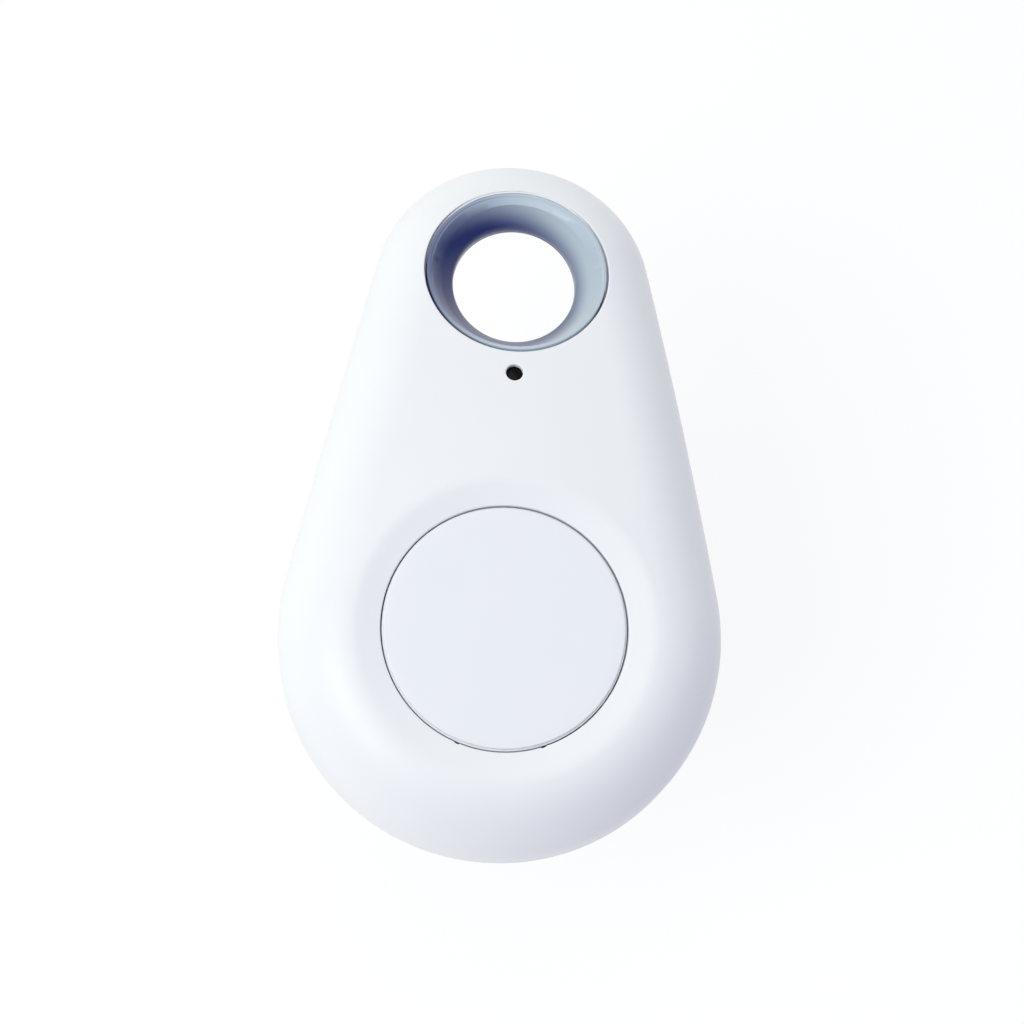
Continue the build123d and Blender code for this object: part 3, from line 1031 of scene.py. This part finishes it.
@dataclass(frozen=True)
class KeyringLiner:
    """Polished eyelet: a rim that follows the crown, a funnel, the bore and the start of the flare."""

    outer_r: float = 6.45
    mouth_top: float = 10.4
    lip_r: float = 6.2
    lip_low: float = 9.6
    funnel_r: float = 5.4
    funnel_z: float = 8.25
    sunk: float = 0.06
    soft: float = 0.05
    apart: float = 0.003
    points: int = 256

    def rim(self, radius: float, drop: float) -> np.ndarray:
        """Circle under the crowned face by the liner's own depth and a little more."""
        return on_face(FRONT, radius, self.points, HOLE, self.sunk + drop)

    def bend(self, before: tuple[float, float], corner: tuple[float, float], after: tuple[float, float],
             reach: float) -> list[tuple[float, float]]:
        """Rounds a corner of the section: a quadratic curve between points the reach away from it.

        Args:
            before: the point before the corner, as radius and height.
            corner: the corner itself.
            after: the point after it.
            reach: how far from the corner the curve starts and stops.

        Returns:
            the curve as (radius, height) pairs.
        """
        a, b, c = (np.array(point) for point in (before, corner, after))
        start = b + (a - b) / np.linalg.norm(a - b) * reach
        stop = b + (c - b) / np.linalg.norm(c - b) * reach
        steps = np.linspace(0, 1, 7)[:, None]
        curve = (1 - steps) ** 2 * start + 2 * steps * (1 - steps) * b + steps**2 * stop
        return [tuple(row) for row in curve]

    def build(self) -> bpy.types.Object:
        """Makes the liner as one closed ring.

        Returns:
            the piece as a mesh object.
        """
        low = float(node_box("keyring_liner")[0][2])
        flare_r = BORE_R + (BORE_LOW - low) * FLARE
        skin = Skin()
        soft = self.soft
        lip, knee, throat = (self.lip_r, self.lip_low), (self.funnel_r, self.funnel_z), (BORE_R, BORE_TOP)
        section = self.bend((self.lip_r, self.mouth_top), lip, knee, 0.35)
        section += self.bend(lip, knee, throat, 0.3)
        section += self.bend(knee, throat, (BORE_R, BORE_LOW), 0.3)
        section += [(BORE_R, BORE_LOW), (flare_r, low + 0.02), (flare_r + 0.04, low)]
        section += [(self.outer_r - 0.1, low), (self.outer_r, low + 0.1)]
        loops = [self.rim(self.outer_r, soft), self.rim(self.outer_r - 0.015, 0.015),
                 self.rim(self.outer_r - soft, 0.0), self.rim(self.lip_r + soft, 0.0),
                 self.rim(self.lip_r + 0.015, 0.015), self.rim(self.lip_r, soft)]
        loops += [under_face(r, z, self.points, self.sunk + soft + self.apart * step)
                  for step, (r, z) in enumerate(section)]
        first = skin.add(loops[0])
        last = skin.sleeve(loops[1:], first)
        skin.bridge(last, first)
        return skin.build("keyring_liner_ring")


@dataclass(frozen=True)
class IndicatorLens:
    """Smoked light pipe: a domed round face in the shell and a square foot over the lamp."""

    radius: float = 0.56
    sunk: float = 0.3
    dome: float = 0.1
    foot: tuple[float, float] = (1.8, 1.4)
    foot_back: float = 0.2
    foot_low: float = 7.5
    foot_top: float = 9.3

    def build(self) -> list[bpy.types.Object]:
        """Makes the pipe and its foot.

        Returns:
            the pipe and its foot as mesh objects.
        """
        top = float(FRONT.height(np.array([[0.0, WINDOW_Y]]))[0]) - self.sunk
        turns = np.linspace(0, math.pi / 2, 9)
        profile = [(0.0, self.foot_top - 0.1), (self.radius, self.foot_top - 0.1)]
        base = top - self.dome
        profile += [(self.radius * math.cos(t), base + self.dome * math.sin(t)) for t in turns[:-1]]
        profile.append((0.0, top))
        pipe = turned("indicator_pipe", profile, 64, (0.0, WINDOW_Y))
        corners = rectangle(0.0, WINDOW_Y - self.foot_back, *self.foot)
        foot = plate("indicator_foot", corners, [], self.foot_low, self.foot_top, soften=0.1)
        return [pipe, foot]


# ------------------------------------------------------------------------------------- board detail


@dataclass(frozen=True)
class ChipEnds:
    """Tinned ends that wrap the small chips, each at (x, y) and turned where its third value is 1."""

    places: tuple[tuple[float, float, int], ...]
    height: float
    length: float = 1.6
    width: float = 0.8
    wrap: float = 0.3
    proud: float = 0.025

    def build(self, name: str, low: float) -> bpy.types.Object:
        """Makes every end as one mesh of small blocks that stand on a height.

        Args:
            name: the piece's name.
            low: the height that the blocks stand on.

        Returns:
            the piece as a mesh object.
        """
        skin = Skin()
        reach = (self.length - self.wrap) / 2 + self.proud
        for x, y, turn in self.places:
            for side in (-1, 1):
                across = (self.wrap, self.width + 2 * self.proud)
                shift = (side * reach, 0.0)
                size, move = (across[::-1], shift[::-1]) if turn else (across, shift)
                block = rectangle(x + move[0], y + move[1], *size)
                skin.slab(block, [], low, low + self.height + self.proud)
        return skin.build(name)


CAPACITOR_ENDS = ChipEnds(
    ((-9.6, -9.4, 1), (-9.6, -11.2, 1), (-6.4, -5.4, 0), (-9.6, -6.2, 1), (6.4, -15.0, 0), (5.0, -3.4, 1)), 0.7)
RESISTOR_ENDS = ChipEnds(
    ((6.4, -13.6, 0), (6.4, -16.4, 0), (-6.4, -3.9, 0), (-3.2, 6.0, 1), (3.1, 6.9, 1)), 0.45)


@dataclass(frozen=True)
class BoardWork:
    """Tracks under the mask, plated holes and soldered joints on the board's underside."""

    routes: tuple[tuple[tuple[float, float], ...], ...] = (
        ((-11.6, -5.5), (-9.6, -3.5), (-9.6, 0.6), (-7.4, 2.8), (-3.0, 2.8)),
        ((-12.4, -7.0), (-12.4, -13.0), (-9.0, -16.4), (-9.0, -19.0), (-6.0, -22.0)),
        ((-4.4, -22.2), (2.4, -22.2), (6.6, -18.0), (6.6, -14.6)),
        ((12.2, -8.0), (12.2, -4.4), (7.4, 0.4), (7.4, 4.4), (4.2, 7.6)),
        ((11.4, -12.6), (11.4, -15.4), (7.2, -19.6), (1.2, -19.6)),
        ((-1.6, 5.4), (-4.4, 5.4), (-6.4, 3.4), (-6.4, -1.0), (-4.0, -3.4), (-4.0, -7.0)),
        ((0.4, -3.2), (3.2, -3.2), (5.2, -5.2), (5.2, -8.4)),
        ((-7.6, -8.2), (-7.6, -12.8), (-3.4, -17.0), (2.6, -17.0)),
    )
    joints: tuple[tuple[float, float], ...] = (
        (-3.3, 1.75), (3.3, 1.75), (-12.1, -10.25), (5.0, -10.9), (5.0, -9.6))
    track: float = 0.32
    copper_high: float = 0.035
    ring_r: float = 0.34
    drill_r: float = 0.16
    tin_high: float = 0.05
    sunk: float = 0.01
    joint_r: float = 0.62
    joint_high: float = 0.34
    joint_narrows: float = 0.62
    round_points: int = 24
    drill_points: int = 16

    def ribbon(self, route: tuple[tuple[float, float], ...]) -> np.ndarray:
        """Outline of a track: its middle line moved half the width both ways, mitred at the bends.

        Args:
            route: flat points along the middle line.

        Returns:
            corners of the outline, one per row.
        """
        line = np.array(route)
        step = np.diff(line, axis=0)
        step /= np.linalg.norm(step, axis=1)[:, None]
        side = np.c_[-step[:, 1], step[:, 0]]
        mitre = np.vstack([side[:1], side[:-1] + side[1:], side[-1:]])
        mitre[1:-1] /= (1 + (side[:-1] * side[1:]).sum(1))[:, None]
        half = self.track / 2
        return np.vstack([line + mitre * half, (line - mitre * half)[::-1]])

    def tracks(self, under: float) -> bpy.types.Object:
        """Makes the tracks as flat raised strips.

        Args:
            under: height of the board's underside.

        Returns:
            the piece as a mesh object.
        """
        skin = Skin()
        for route in self.routes:
            skin.slab(self.ribbon(route), [], under - self.copper_high, under + self.sunk)
        return skin.build("board_tracks")

    def plated_holes(self, under: float) -> bpy.types.Object:
        """Makes a tinned ring with a drilled middle at both ends of each track.

        Args:
            under: height of the board's underside.

        Returns:
            the piece as a mesh object.
        """
        skin = Skin()
        for place in (end for route in self.routes for end in (route[0], route[-1])):
            hole = circle(self.drill_r, self.drill_points, place)
            collar = circle(self.ring_r, self.round_points, place)
            skin.slab(collar, [hole], under - self.tin_high, under + self.sunk)
        return skin.build("board_plated_holes")

    def soldered(self, under: float) -> bpy.types.Object:
        """Makes the soldered joints: wetted cones whose radius falls with the root of the climb.

        Args:
            under: height of the board's underside.

        Returns:
            the piece as a mesh object.
        """
        skin = Skin()
        climb = np.linspace(0, 1, 8)
        reach = self.joint_r * (1 - np.sqrt(climb) * self.joint_narrows)
        heights = under - climb * self.joint_high
        for place in self.joints:
            loops = [ring(r, height, self.round_points, place) for r, height in zip(reach, heights)]
            top = skin.add(ring(self.joint_r, under + self.sunk, self.round_points, place))
            skin.cap(top)
            skin.cap(skin.sleeve(loops, top))
        return skin.build("board_soldered_joints")


# ---------------------------------------------------------------------------------------- finishes


def linear(hex_colour: str) -> tuple[float, float, float, float]:
    """Turns an sRGB hex colour into the linear colour that shaders take."""
    parts = [int(hex_colour[i : i + 2], 16) / 255 for i in (1, 3, 5)]
    return (*(c / 12.92 if c <= 0.04045 else ((c + 0.055) / 1.055) ** 2.4 for c in parts), 1.0)


def node(tree: bpy.types.NodeTree, kind: str, settings: dict | None = None,
         inputs: dict | None = None) -> bpy.types.Node:
    """Adds a shader node.

    Args:
        tree: the tree to add it to.
        kind: the node's type name.
        settings: properties to set on the node.
        inputs: sockets by name or number, with a value or an output socket to link from.

    Returns:
        The new node.
    """
    made = tree.nodes.new(kind)
    for key, value in (settings or {}).items():
        setattr(made, key, value)
    for key, value in (inputs or {}).items():
        if isinstance(value, bpy.types.NodeSocket):
            tree.links.new(value, made.inputs[key])
        else:
            made.inputs[key].default_value = value
    return made


# a surface's slow mottling is this many times as coarse as its grain
MOTTLE = 40


class Grain(Enum):
    """How a surface was finished, which sets the shape of its finest marks."""

    MOULDED = "moulded"
    BRUSHED = "brushed"
    DRAWN = "drawn"
    PRESSED = "pressed"


@dataclass(frozen=True)
class Finish:
    """A real material and the way its surface was made, as one procedural material.

    The pattern sizes are real millimetres on Object coordinates; depth is the bump's height in
    millimetres and swing the share by which colour and roughness wander.
    """

    name: str
    slot: str
    colour: str
    shade: str
    roughness: float
    grain: Grain = Grain.MOULDED
    grain_mm: float = 0.12
    depth_mm: float = 0.002
    swing: float = 0.25
    metallic: float = 0.0
    use: str = ""
    ior: float = 1.5
    coat: float = 0.0
    clear: float = 0.0

    def stretch(self) -> tuple[float, float, float]:
        """How much the pattern is drawn out along each axis: brushed along X, drawn along Z.

        Returns:
            one factor per axis.
        """
        return {
            Grain.MOULDED: (1.0, 1.0, 1.0),
            Grain.BRUSHED: (0.06, 1.0, 1.0),
            Grain.DRAWN: (1.0, 1.0, 0.08),
            Grain.PRESSED: (1.0, 1.0, 1.0),
        }[self.grain]

    def colour_of(self, tree: bpy.types.NodeTree, place: bpy.types.Node,
                  slow: bpy.types.Node) -> bpy.types.NodeSocket:
        """Colour that wanders slowly between the finish's two close shades.

        Args:
            tree: the material's nodes.
            place: the Texture Coordinate node.
            slow: the node with the slow mottling.

        Returns:
            the colour, as an output socket.
        """
        tint = node(tree, "ShaderNodeMix", {"data_type": "RGBA"},
                    {"Factor": slow.outputs["Fac"], 6: linear(self.colour), 7: linear(self.shade)})
        return tint.outputs[2]

    def build(self) -> bpy.types.Material:
        """Makes the material: slow mottling for colour and roughness, and a fine bump at the grain's size.

        Returns:
            the finished material.
        """
        material = bpy.data.materials.new(self.name)
        material.use_nodes = True
        tree = material.node_tree
        tree.nodes.clear()
        per_metre = 1 / (self.grain_mm * MM)
        place = node(tree, "ShaderNodeTexCoord")
        spun = node(tree, "ShaderNodeMapping", {},
                    {"Vector": place.outputs["Object"], "Scale": self.stretch()})
        fine = node(tree, "ShaderNodeTexNoise", {},
                    {"Vector": spun.outputs[0], "Scale": per_metre, "Detail": 3.0})
        slow = node(tree, "ShaderNodeTexNoise", {},
                    {"Vector": place.outputs["Object"], "Scale": per_metre / MOTTLE, "Detail": 2.0})
        colour = self.colour_of(tree, place, slow)
        dullest, shiniest = self.roughness * (1 + self.swing), self.roughness * (1 - self.swing)
        rough = node(tree, "ShaderNodeMapRange", {},
                     {"Value": fine.outputs["Fac"], "To Min": shiniest, "To Max": dullest})
        bump = node(tree, "ShaderNodeBump", {},
                    {"Height": fine.outputs["Fac"], "Distance": self.depth_mm * MM, "Strength": 1.0})
        shader = node(tree, "ShaderNodeBsdfPrincipled", {}, {
            "Base Color": colour, "Roughness": rough.outputs[0], "Normal": bump.outputs[0],
            "Metallic": self.metallic, "IOR": self.ior, "Coat Weight": self.coat, "Coat Roughness": 0.08,
            "Transmission Weight": self.clear})
        node(tree, "ShaderNodeOutputMaterial", {}, {"Surface": shader.outputs[0]})
        return material


@dataclass(frozen=True)
class PaintedShadeFinish(Finish):
    """Plastic with painted shade: the colour darkens down the piece, as shade in the hole, and towards its
    left, the wall that faces away from the light.

    It turns from shade to colour between two heights in mm over the middle of the hole; away from
    the middle those heights fall by the lean, in mm per mm to the right and to the back.
    """

    top: float = 9.8
    bottom: float = 7.0
    lean: tuple[float, float] = (0.26, 0.12)

    def colour_of(self, tree: bpy.types.NodeTree, place: bpy.types.Node,
                  slow: bpy.types.Node) -> bpy.types.NodeSocket:
        """Colour by height over the leaning plane: the painted shade below turns into the colour above.

        Args:
            tree: the material's nodes.
            place: the Texture Coordinate node.
            slow: the node with the slow mottling.

        Returns:
            the colour, as an output socket.
        """
        # painted shade: the liner's colour turns to navy lower down and towards its left, where the hole's wall
        # lies in shade
        height = node(tree, "ShaderNodeVectorMath", {"operation": "DOT_PRODUCT"},
                      {0: place.outputs["Object"], 1: (*self.lean, 1.0)})
        at_middle = self.lean[0] * HOLE[0] + self.lean[1] * HOLE[1]
        share = node(tree, "ShaderNodeMapRange", {"interpolation_type": "SMOOTHSTEP"}, {
            "Value": height.outputs["Value"], "From Min": (self.bottom + at_middle) * MM,
            "From Max": (self.top + at_middle) * MM})
        tint = node(tree, "ShaderNodeMix", {"data_type": "RGBA"},
                    {"Factor": share.outputs[0], 6: linear(self.shade), 7: linear(self.colour)})
        return tint.outputs[2]


FINISHES = [
    # white ABS out of a finely etched mould: opaque, with a soft satin sheen and a grain felt more than seen
    Finish("satin_moulded_abs", "shell", "#F2F4F5", "#EFF1F2", 0.38, grain_mm=0.14, depth_mm=0.0012),
    # the same ABS from a finer etch, so the button looks a touch smoother than the shell round it
    Finish("fine_moulded_abs", "button", "#EFF1F4", "#ECEFF2", 0.42, grain_mm=0.1, depth_mm=0.0009),
    # blue-grey plastic from a polished mould: mirror-like streaks with the colour underneath, and painted shade
    # that darkens it to navy down the hole and towards its left
    PaintedShadeFinish("tinted_blue_grey_plastic", "liner", "#C0CED8", "#2A3672",
             0.2, grain_mm=0.5, depth_mm=0.0004, ior=1.4),
    # smoked acrylic: near black, very smooth
    Finish("smoked_acrylic", "smoked_lens", "#050506", "#070708",
           0.12, grain_mm=0.3, depth_mm=0.0001, ior=1.2),
    # glass-fibre laminate under green solder mask: the weave shows as a faint relief
    Finish("solder_mask_laminate", "board", "#1B5A3C", "#174F34",
           0.3, grain_mm=0.25, depth_mm=0.003, ior=1.55, coat=0.3),
    # the same mask where it lies over copper: paler and a little glossier
    Finish("solder_mask_over_copper", "board", "#3A8058", "#33764F",
           0.26, grain_mm=0.25, depth_mm=0.001, ior=1.55, coat=0.3, use="masked_copper"),
    # copper track, bright where it was plated
    Finish("plated_copper", "copper", "#D98A5B", "#CF7F51", 0.28, grain_mm=0.06, metallic=1.0),
    # nickel-plated spring steel strip with its rolling marks
    Finish("nickel_plated_spring_steel", "spring_metal", "#CFCBC2", "#C6C2B8",
           0.3, Grain.BRUSHED, 0.05, 0.0008, metallic=1.0),
    # black epoxy moulding compound: matte, with a sandblasted tooth
    Finish("moulded_epoxy", "chip_epoxy", "#1D1E20", "#232426", 0.62, grain_mm=0.07, depth_mm=0.003),
    # deep-drawn nickel-plated can
    Finish("drawn_nickel_can", "nickel_can", "#D0CCC1", "#C9C5B9",
           0.22, Grain.DRAWN, 0.06, 0.0006, metallic=1.0),
    # fired ceramic body of a chip capacitor
    Finish("fired_ceramic", "ceramic_chip", "#A98A66", "#9C7D5A", 0.5, grain_mm=0.05, depth_mm=0.001),
    # sintered ferrite: dark, faintly sparkling
    Finish("sintered_ferrite", "ferrite", "#3A3A3D", "#2F2F32", 0.55, Grain.PRESSED, 0.06, 0.002),
    # white reflector resin round a lamp
    Finish("white_reflector_resin", "lamp_white", "#F1F0EA", "#ECEBE3",
           0.45, grain_mm=0.08, depth_mm=0.001),
    # clear cast resin
    Finish("clear_cast_resin", "clear_resin", "#F4F2E4", "#EFEDDD",
           0.12, grain_mm=0.2, depth_mm=0.0003, clear=0.6),
    # black nylon from a plain mould
    Finish("moulded_nylon", "black_plastic", "#202124", "#1B1C1F", 0.5, grain_mm=0.09, depth_mm=0.002),
    # tinned contacts: soft grey metal with a slightly dimpled skin
    Finish("tinned_solder", "solder", "#C9CBCE", "#BDBFC3",
           0.32, grain_mm=0.15, depth_mm=0.003, metallic=1.0),
    # soft iron pole, turned and left dull
    Finish("turned_soft_iron", "iron", "#9A9894", "#8E8C88",
           0.4, Grain.DRAWN, 0.05, 0.001, metallic=1.0),
    # stainless steel of the coin cell, brushed one way
    Finish("brushed_stainless_steel", "cell_steel", "#D8D8D6", "#D0D0CE",
           0.26, Grain.BRUSHED, 0.06, 0.0008, metallic=1.0),
    # moulded polypropylene gasket: milky and a little waxy
    Finish("moulded_polypropylene", "cell_seal", "#C9C8BF", "#C1C0B6",
           0.42, grain_mm=0.1, depth_mm=0.001),
    # manganese powder pressed into a pellet: black and dry
    Finish("pressed_cathode_powder", "cathode", "#252527", "#1E1E20", 0.85, Grain.PRESSED, 0.04, 0.006),
    # rolled lithium foil: soft, dull silver
    Finish("rolled_lithium", "lithium", "#B9BBB8", "#AEB0AD",
           0.45, Grain.BRUSHED, 0.08, 0.001, metallic=1.0),
]


# ------------------------------------------------------------------------------------------ studio


@dataclass(frozen=True)
class Studio:
    """Light table, soft lights and the camera."""

    reach: float = 150.0
    azimuth: float = -11.311
    elevation: float = 72.245
    roll: float = 13.868
    lens: float = 74.2
    shift_x: float = 0.0061
    shift_y: float = -0.0188
    table_glow: float = 0.76
    table_half: float = 6000.0
    room_below: float = 31.0
    bright_sky: str = "#EAECEC"
    dim_sky: str = "#505594"
    sky_strength: float = 0.9
    dim_side: tuple[float, float, float] = (0.72, -0.66, -0.2)

    def table(self) -> bpy.types.Object:
        """Lays a pale table that is lit from below, as far under the tag as its cover comes down.

        Returns:
            the table as a mesh object.
        """
        half, low = self.table_half * MM, (float(LOW[2]) - self.room_below) * MM
        mesh = bpy.data.meshes.new("light_table")
        corners = np.c_[rectangle(0.0, 0.0, 2 * half, 2 * half), np.full(4, low)]
        mesh.from_pydata(corners.tolist(), [], [(0, 1, 2, 3)])
        material = bpy.data.materials.new("opal_table")
        material.use_nodes = True
        shader = material.node_tree.nodes["Principled BSDF"]
        shader.inputs["Base Color"].default_value = linear("#8C8C8C")
        shader.inputs["Roughness"].default_value = 0.9
        shader.inputs["Specular IOR Level"].default_value = 0.0
        shader.inputs["Emission Color"].default_value = linear("#FFFFFF")
        shader.inputs["Emission Strength"].default_value = self.table_glow
        mesh.materials.append(material)
        table = bpy.data.objects.new("light_table", mesh)
        bpy.context.scene.collection.objects.link(table)
        return table

    def lamp(self, name: str, place: tuple[float, float, float], size: float, power: float,
             colour: str = "#FFFFFF") -> bpy.types.Object:
        """Hangs a square soft box that faces the tag.

        Args:
            name: the lamp's name.
            place: its middle, in millimetres.
            size: its side, in millimetres.
            power: its light, in watts.
            colour: its colour.

        Returns:
            the lamp object.
        """
        data = bpy.data.lights.new(name, "AREA")
        data.shape, data.size, data.energy = "SQUARE", size * MM, power
        data.color = linear(colour)[:3]
        box = bpy.data.objects.new(name, data)
        box.location = Vector(place) * MM
        box.rotation_euler = (Vector((0, 0, 5 * MM)) - box.location).to_track_quat("-Z", "Y").to_euler()
        bpy.context.scene.collection.objects.link(box)
        return box

    def room(self) -> None:
        """Fills the room with cool light that falls off towards its dim side."""
        world = bpy.data.worlds.new("room")
        bpy.context.scene.world = world
        world.use_nodes = True
        tree = world.node_tree
        tree.nodes.clear()
        way = node(tree, "ShaderNodeTexCoord")
        side = node(tree, "ShaderNodeVectorMath", {"operation": "DOT_PRODUCT"},
                    {0: way.outputs["Generated"], 1: self.dim_side})
        share = node(tree, "ShaderNodeMapRange", {"interpolation_type": "SMOOTHSTEP"},
                     {"Value": side.outputs["Value"], "From Min": -0.06, "From Max": 0.74})
        sky = node(tree, "ShaderNodeMix", {"data_type": "RGBA"},
                   {"Factor": share.outputs[0], 6: linear(self.bright_sky), 7: linear(self.dim_sky)})
        back = node(tree, "ShaderNodeBackground", {},
                    {"Color": sky.outputs[2], "Strength": self.sky_strength})
        node(tree, "ShaderNodeOutputWorld", {}, {"Surface": back.outputs[0]})

    def camera(self) -> bpy.types.Object:
        """Sets the camera on its line of sight, rolled about it.

        Returns:
            the camera object.
        """
        azimuth, elevation, roll = (math.radians(a) for a in (self.azimuth, self.elevation, self.roll))
        back = Vector((math.sin(azimuth) * math.cos(elevation), -math.cos(azimuth) * math.cos(elevation),
                       math.sin(elevation)))
        level = Vector((math.cos(azimuth), math.sin(azimuth), 0))
        up = back.cross(level)
        right = math.cos(roll) * level + math.sin(roll) * up
        top = -math.sin(roll) * level + math.cos(roll) * up
        data = bpy.data.cameras.new("camera")
        data.lens, data.sensor_width = self.lens, 36.0
        data.shift_x, data.shift_y = self.shift_x, self.shift_y
        data.clip_start = 0.005
        camera = bpy.data.objects.new("camera", data)
        turn = Matrix((right, top, back)).transposed().to_4x4()
        camera.matrix_world = Matrix.Translation((Vector((0, 0, 5.5)) + self.reach * back) * MM) @ turn
        bpy.context.scene.collection.objects.link(camera)
        bpy.context.scene.camera = camera
        return camera

    def build(self) -> None:
        """Sets up the table, the lights, the room and the camera."""
        bpy.context.scene.view_settings.view_transform = "Standard"
        self.table()
        self.lamp("key_soft_box", (-270.0, -150.0, 430.0), 260.0, 0.85)
        self.lamp("top_soft_box", (-60.0, 60.0, 520.0), 320.0, 0.34)
        self.room()
        self.camera()


# -------------------------------------------------------------------------------------------- main


def fit(pieces: list[bpy.types.Object], body: Body, slot: str, finishes: dict[str, bpy.types.Material],
        nodes: tuple[str, ...] = (), use: str = "") -> None:
    """Puts pieces on their body, gives them their finish and lets them stand for design nodes.

    Args:
        pieces: the pieces of one sub-assembly.
        body: the body that they ride on.
        slot: the record's slot for their finish.
        finishes: the materials by use.
        nodes: design nodes that the first piece stands for.
        use: which of the slot's finishes to take, if it has several.
    """
    for piece in pieces:
        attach(piece, body.value)
        piece.data.materials.clear()
        piece.data.materials.append(finishes[use or slot])
        LOG.info("%s: %d faces on %s", piece.name, len(piece.data.polygons), body.value)
    for design_node in nodes:
        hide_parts(design_node)


def main() -> None:
    """Builds the tag piece by piece, dresses what is kept of the design, and sets up the studio."""
    logging.basicConfig(level=logging.INFO, format="%(message)s")
    finishes = {finish.use or finish.slot: finish.build() for finish in FINISHES}
    fit([FrontShell().build()], Body.HOUSING, "shell", finishes, ("front_shell",))
    fit([BackCover().build()], Body.COVER, "shell", finishes, ("back_cover",))
    fit(ButtonCap().build(), Body.BUTTON, "button", finishes, ("button_cap",))
    fit([KeyringLiner().build()], Body.HOUSING, "liner", finishes, ("keyring_liner",))
    fit(IndicatorLens().build(), Body.HOUSING, "smoked_lens", finishes, ("indicator_lens",))
    under, top = (float(corner[2]) for corner in node_box("circuit_board"))
    work = BoardWork()
    fit([work.tracks(under)], Body.HOUSING, "board", finishes, use="masked_copper")
    fit([work.plated_holes(under), work.soldered(under)], Body.HOUSING, "solder", finishes)
    ends = [CAPACITOR_ENDS.build("capacitor_ends", top), RESISTOR_ENDS.build("resistor_ends", top)]
    fit(ends, Body.HOUSING, "solder", finishes)
    for name, piece in frame["nodes"].items():
        for place in piece.material_slots:
            slot = next((s for s in finishes if place.material and s in place.material.name), "shell")
            place.material = finishes[slot]
        LOG.info("%s: kept with %s", name, [place.material.name for place in piece.material_slots])
    Studio().build()


if __name__ == "__main__":
    main()
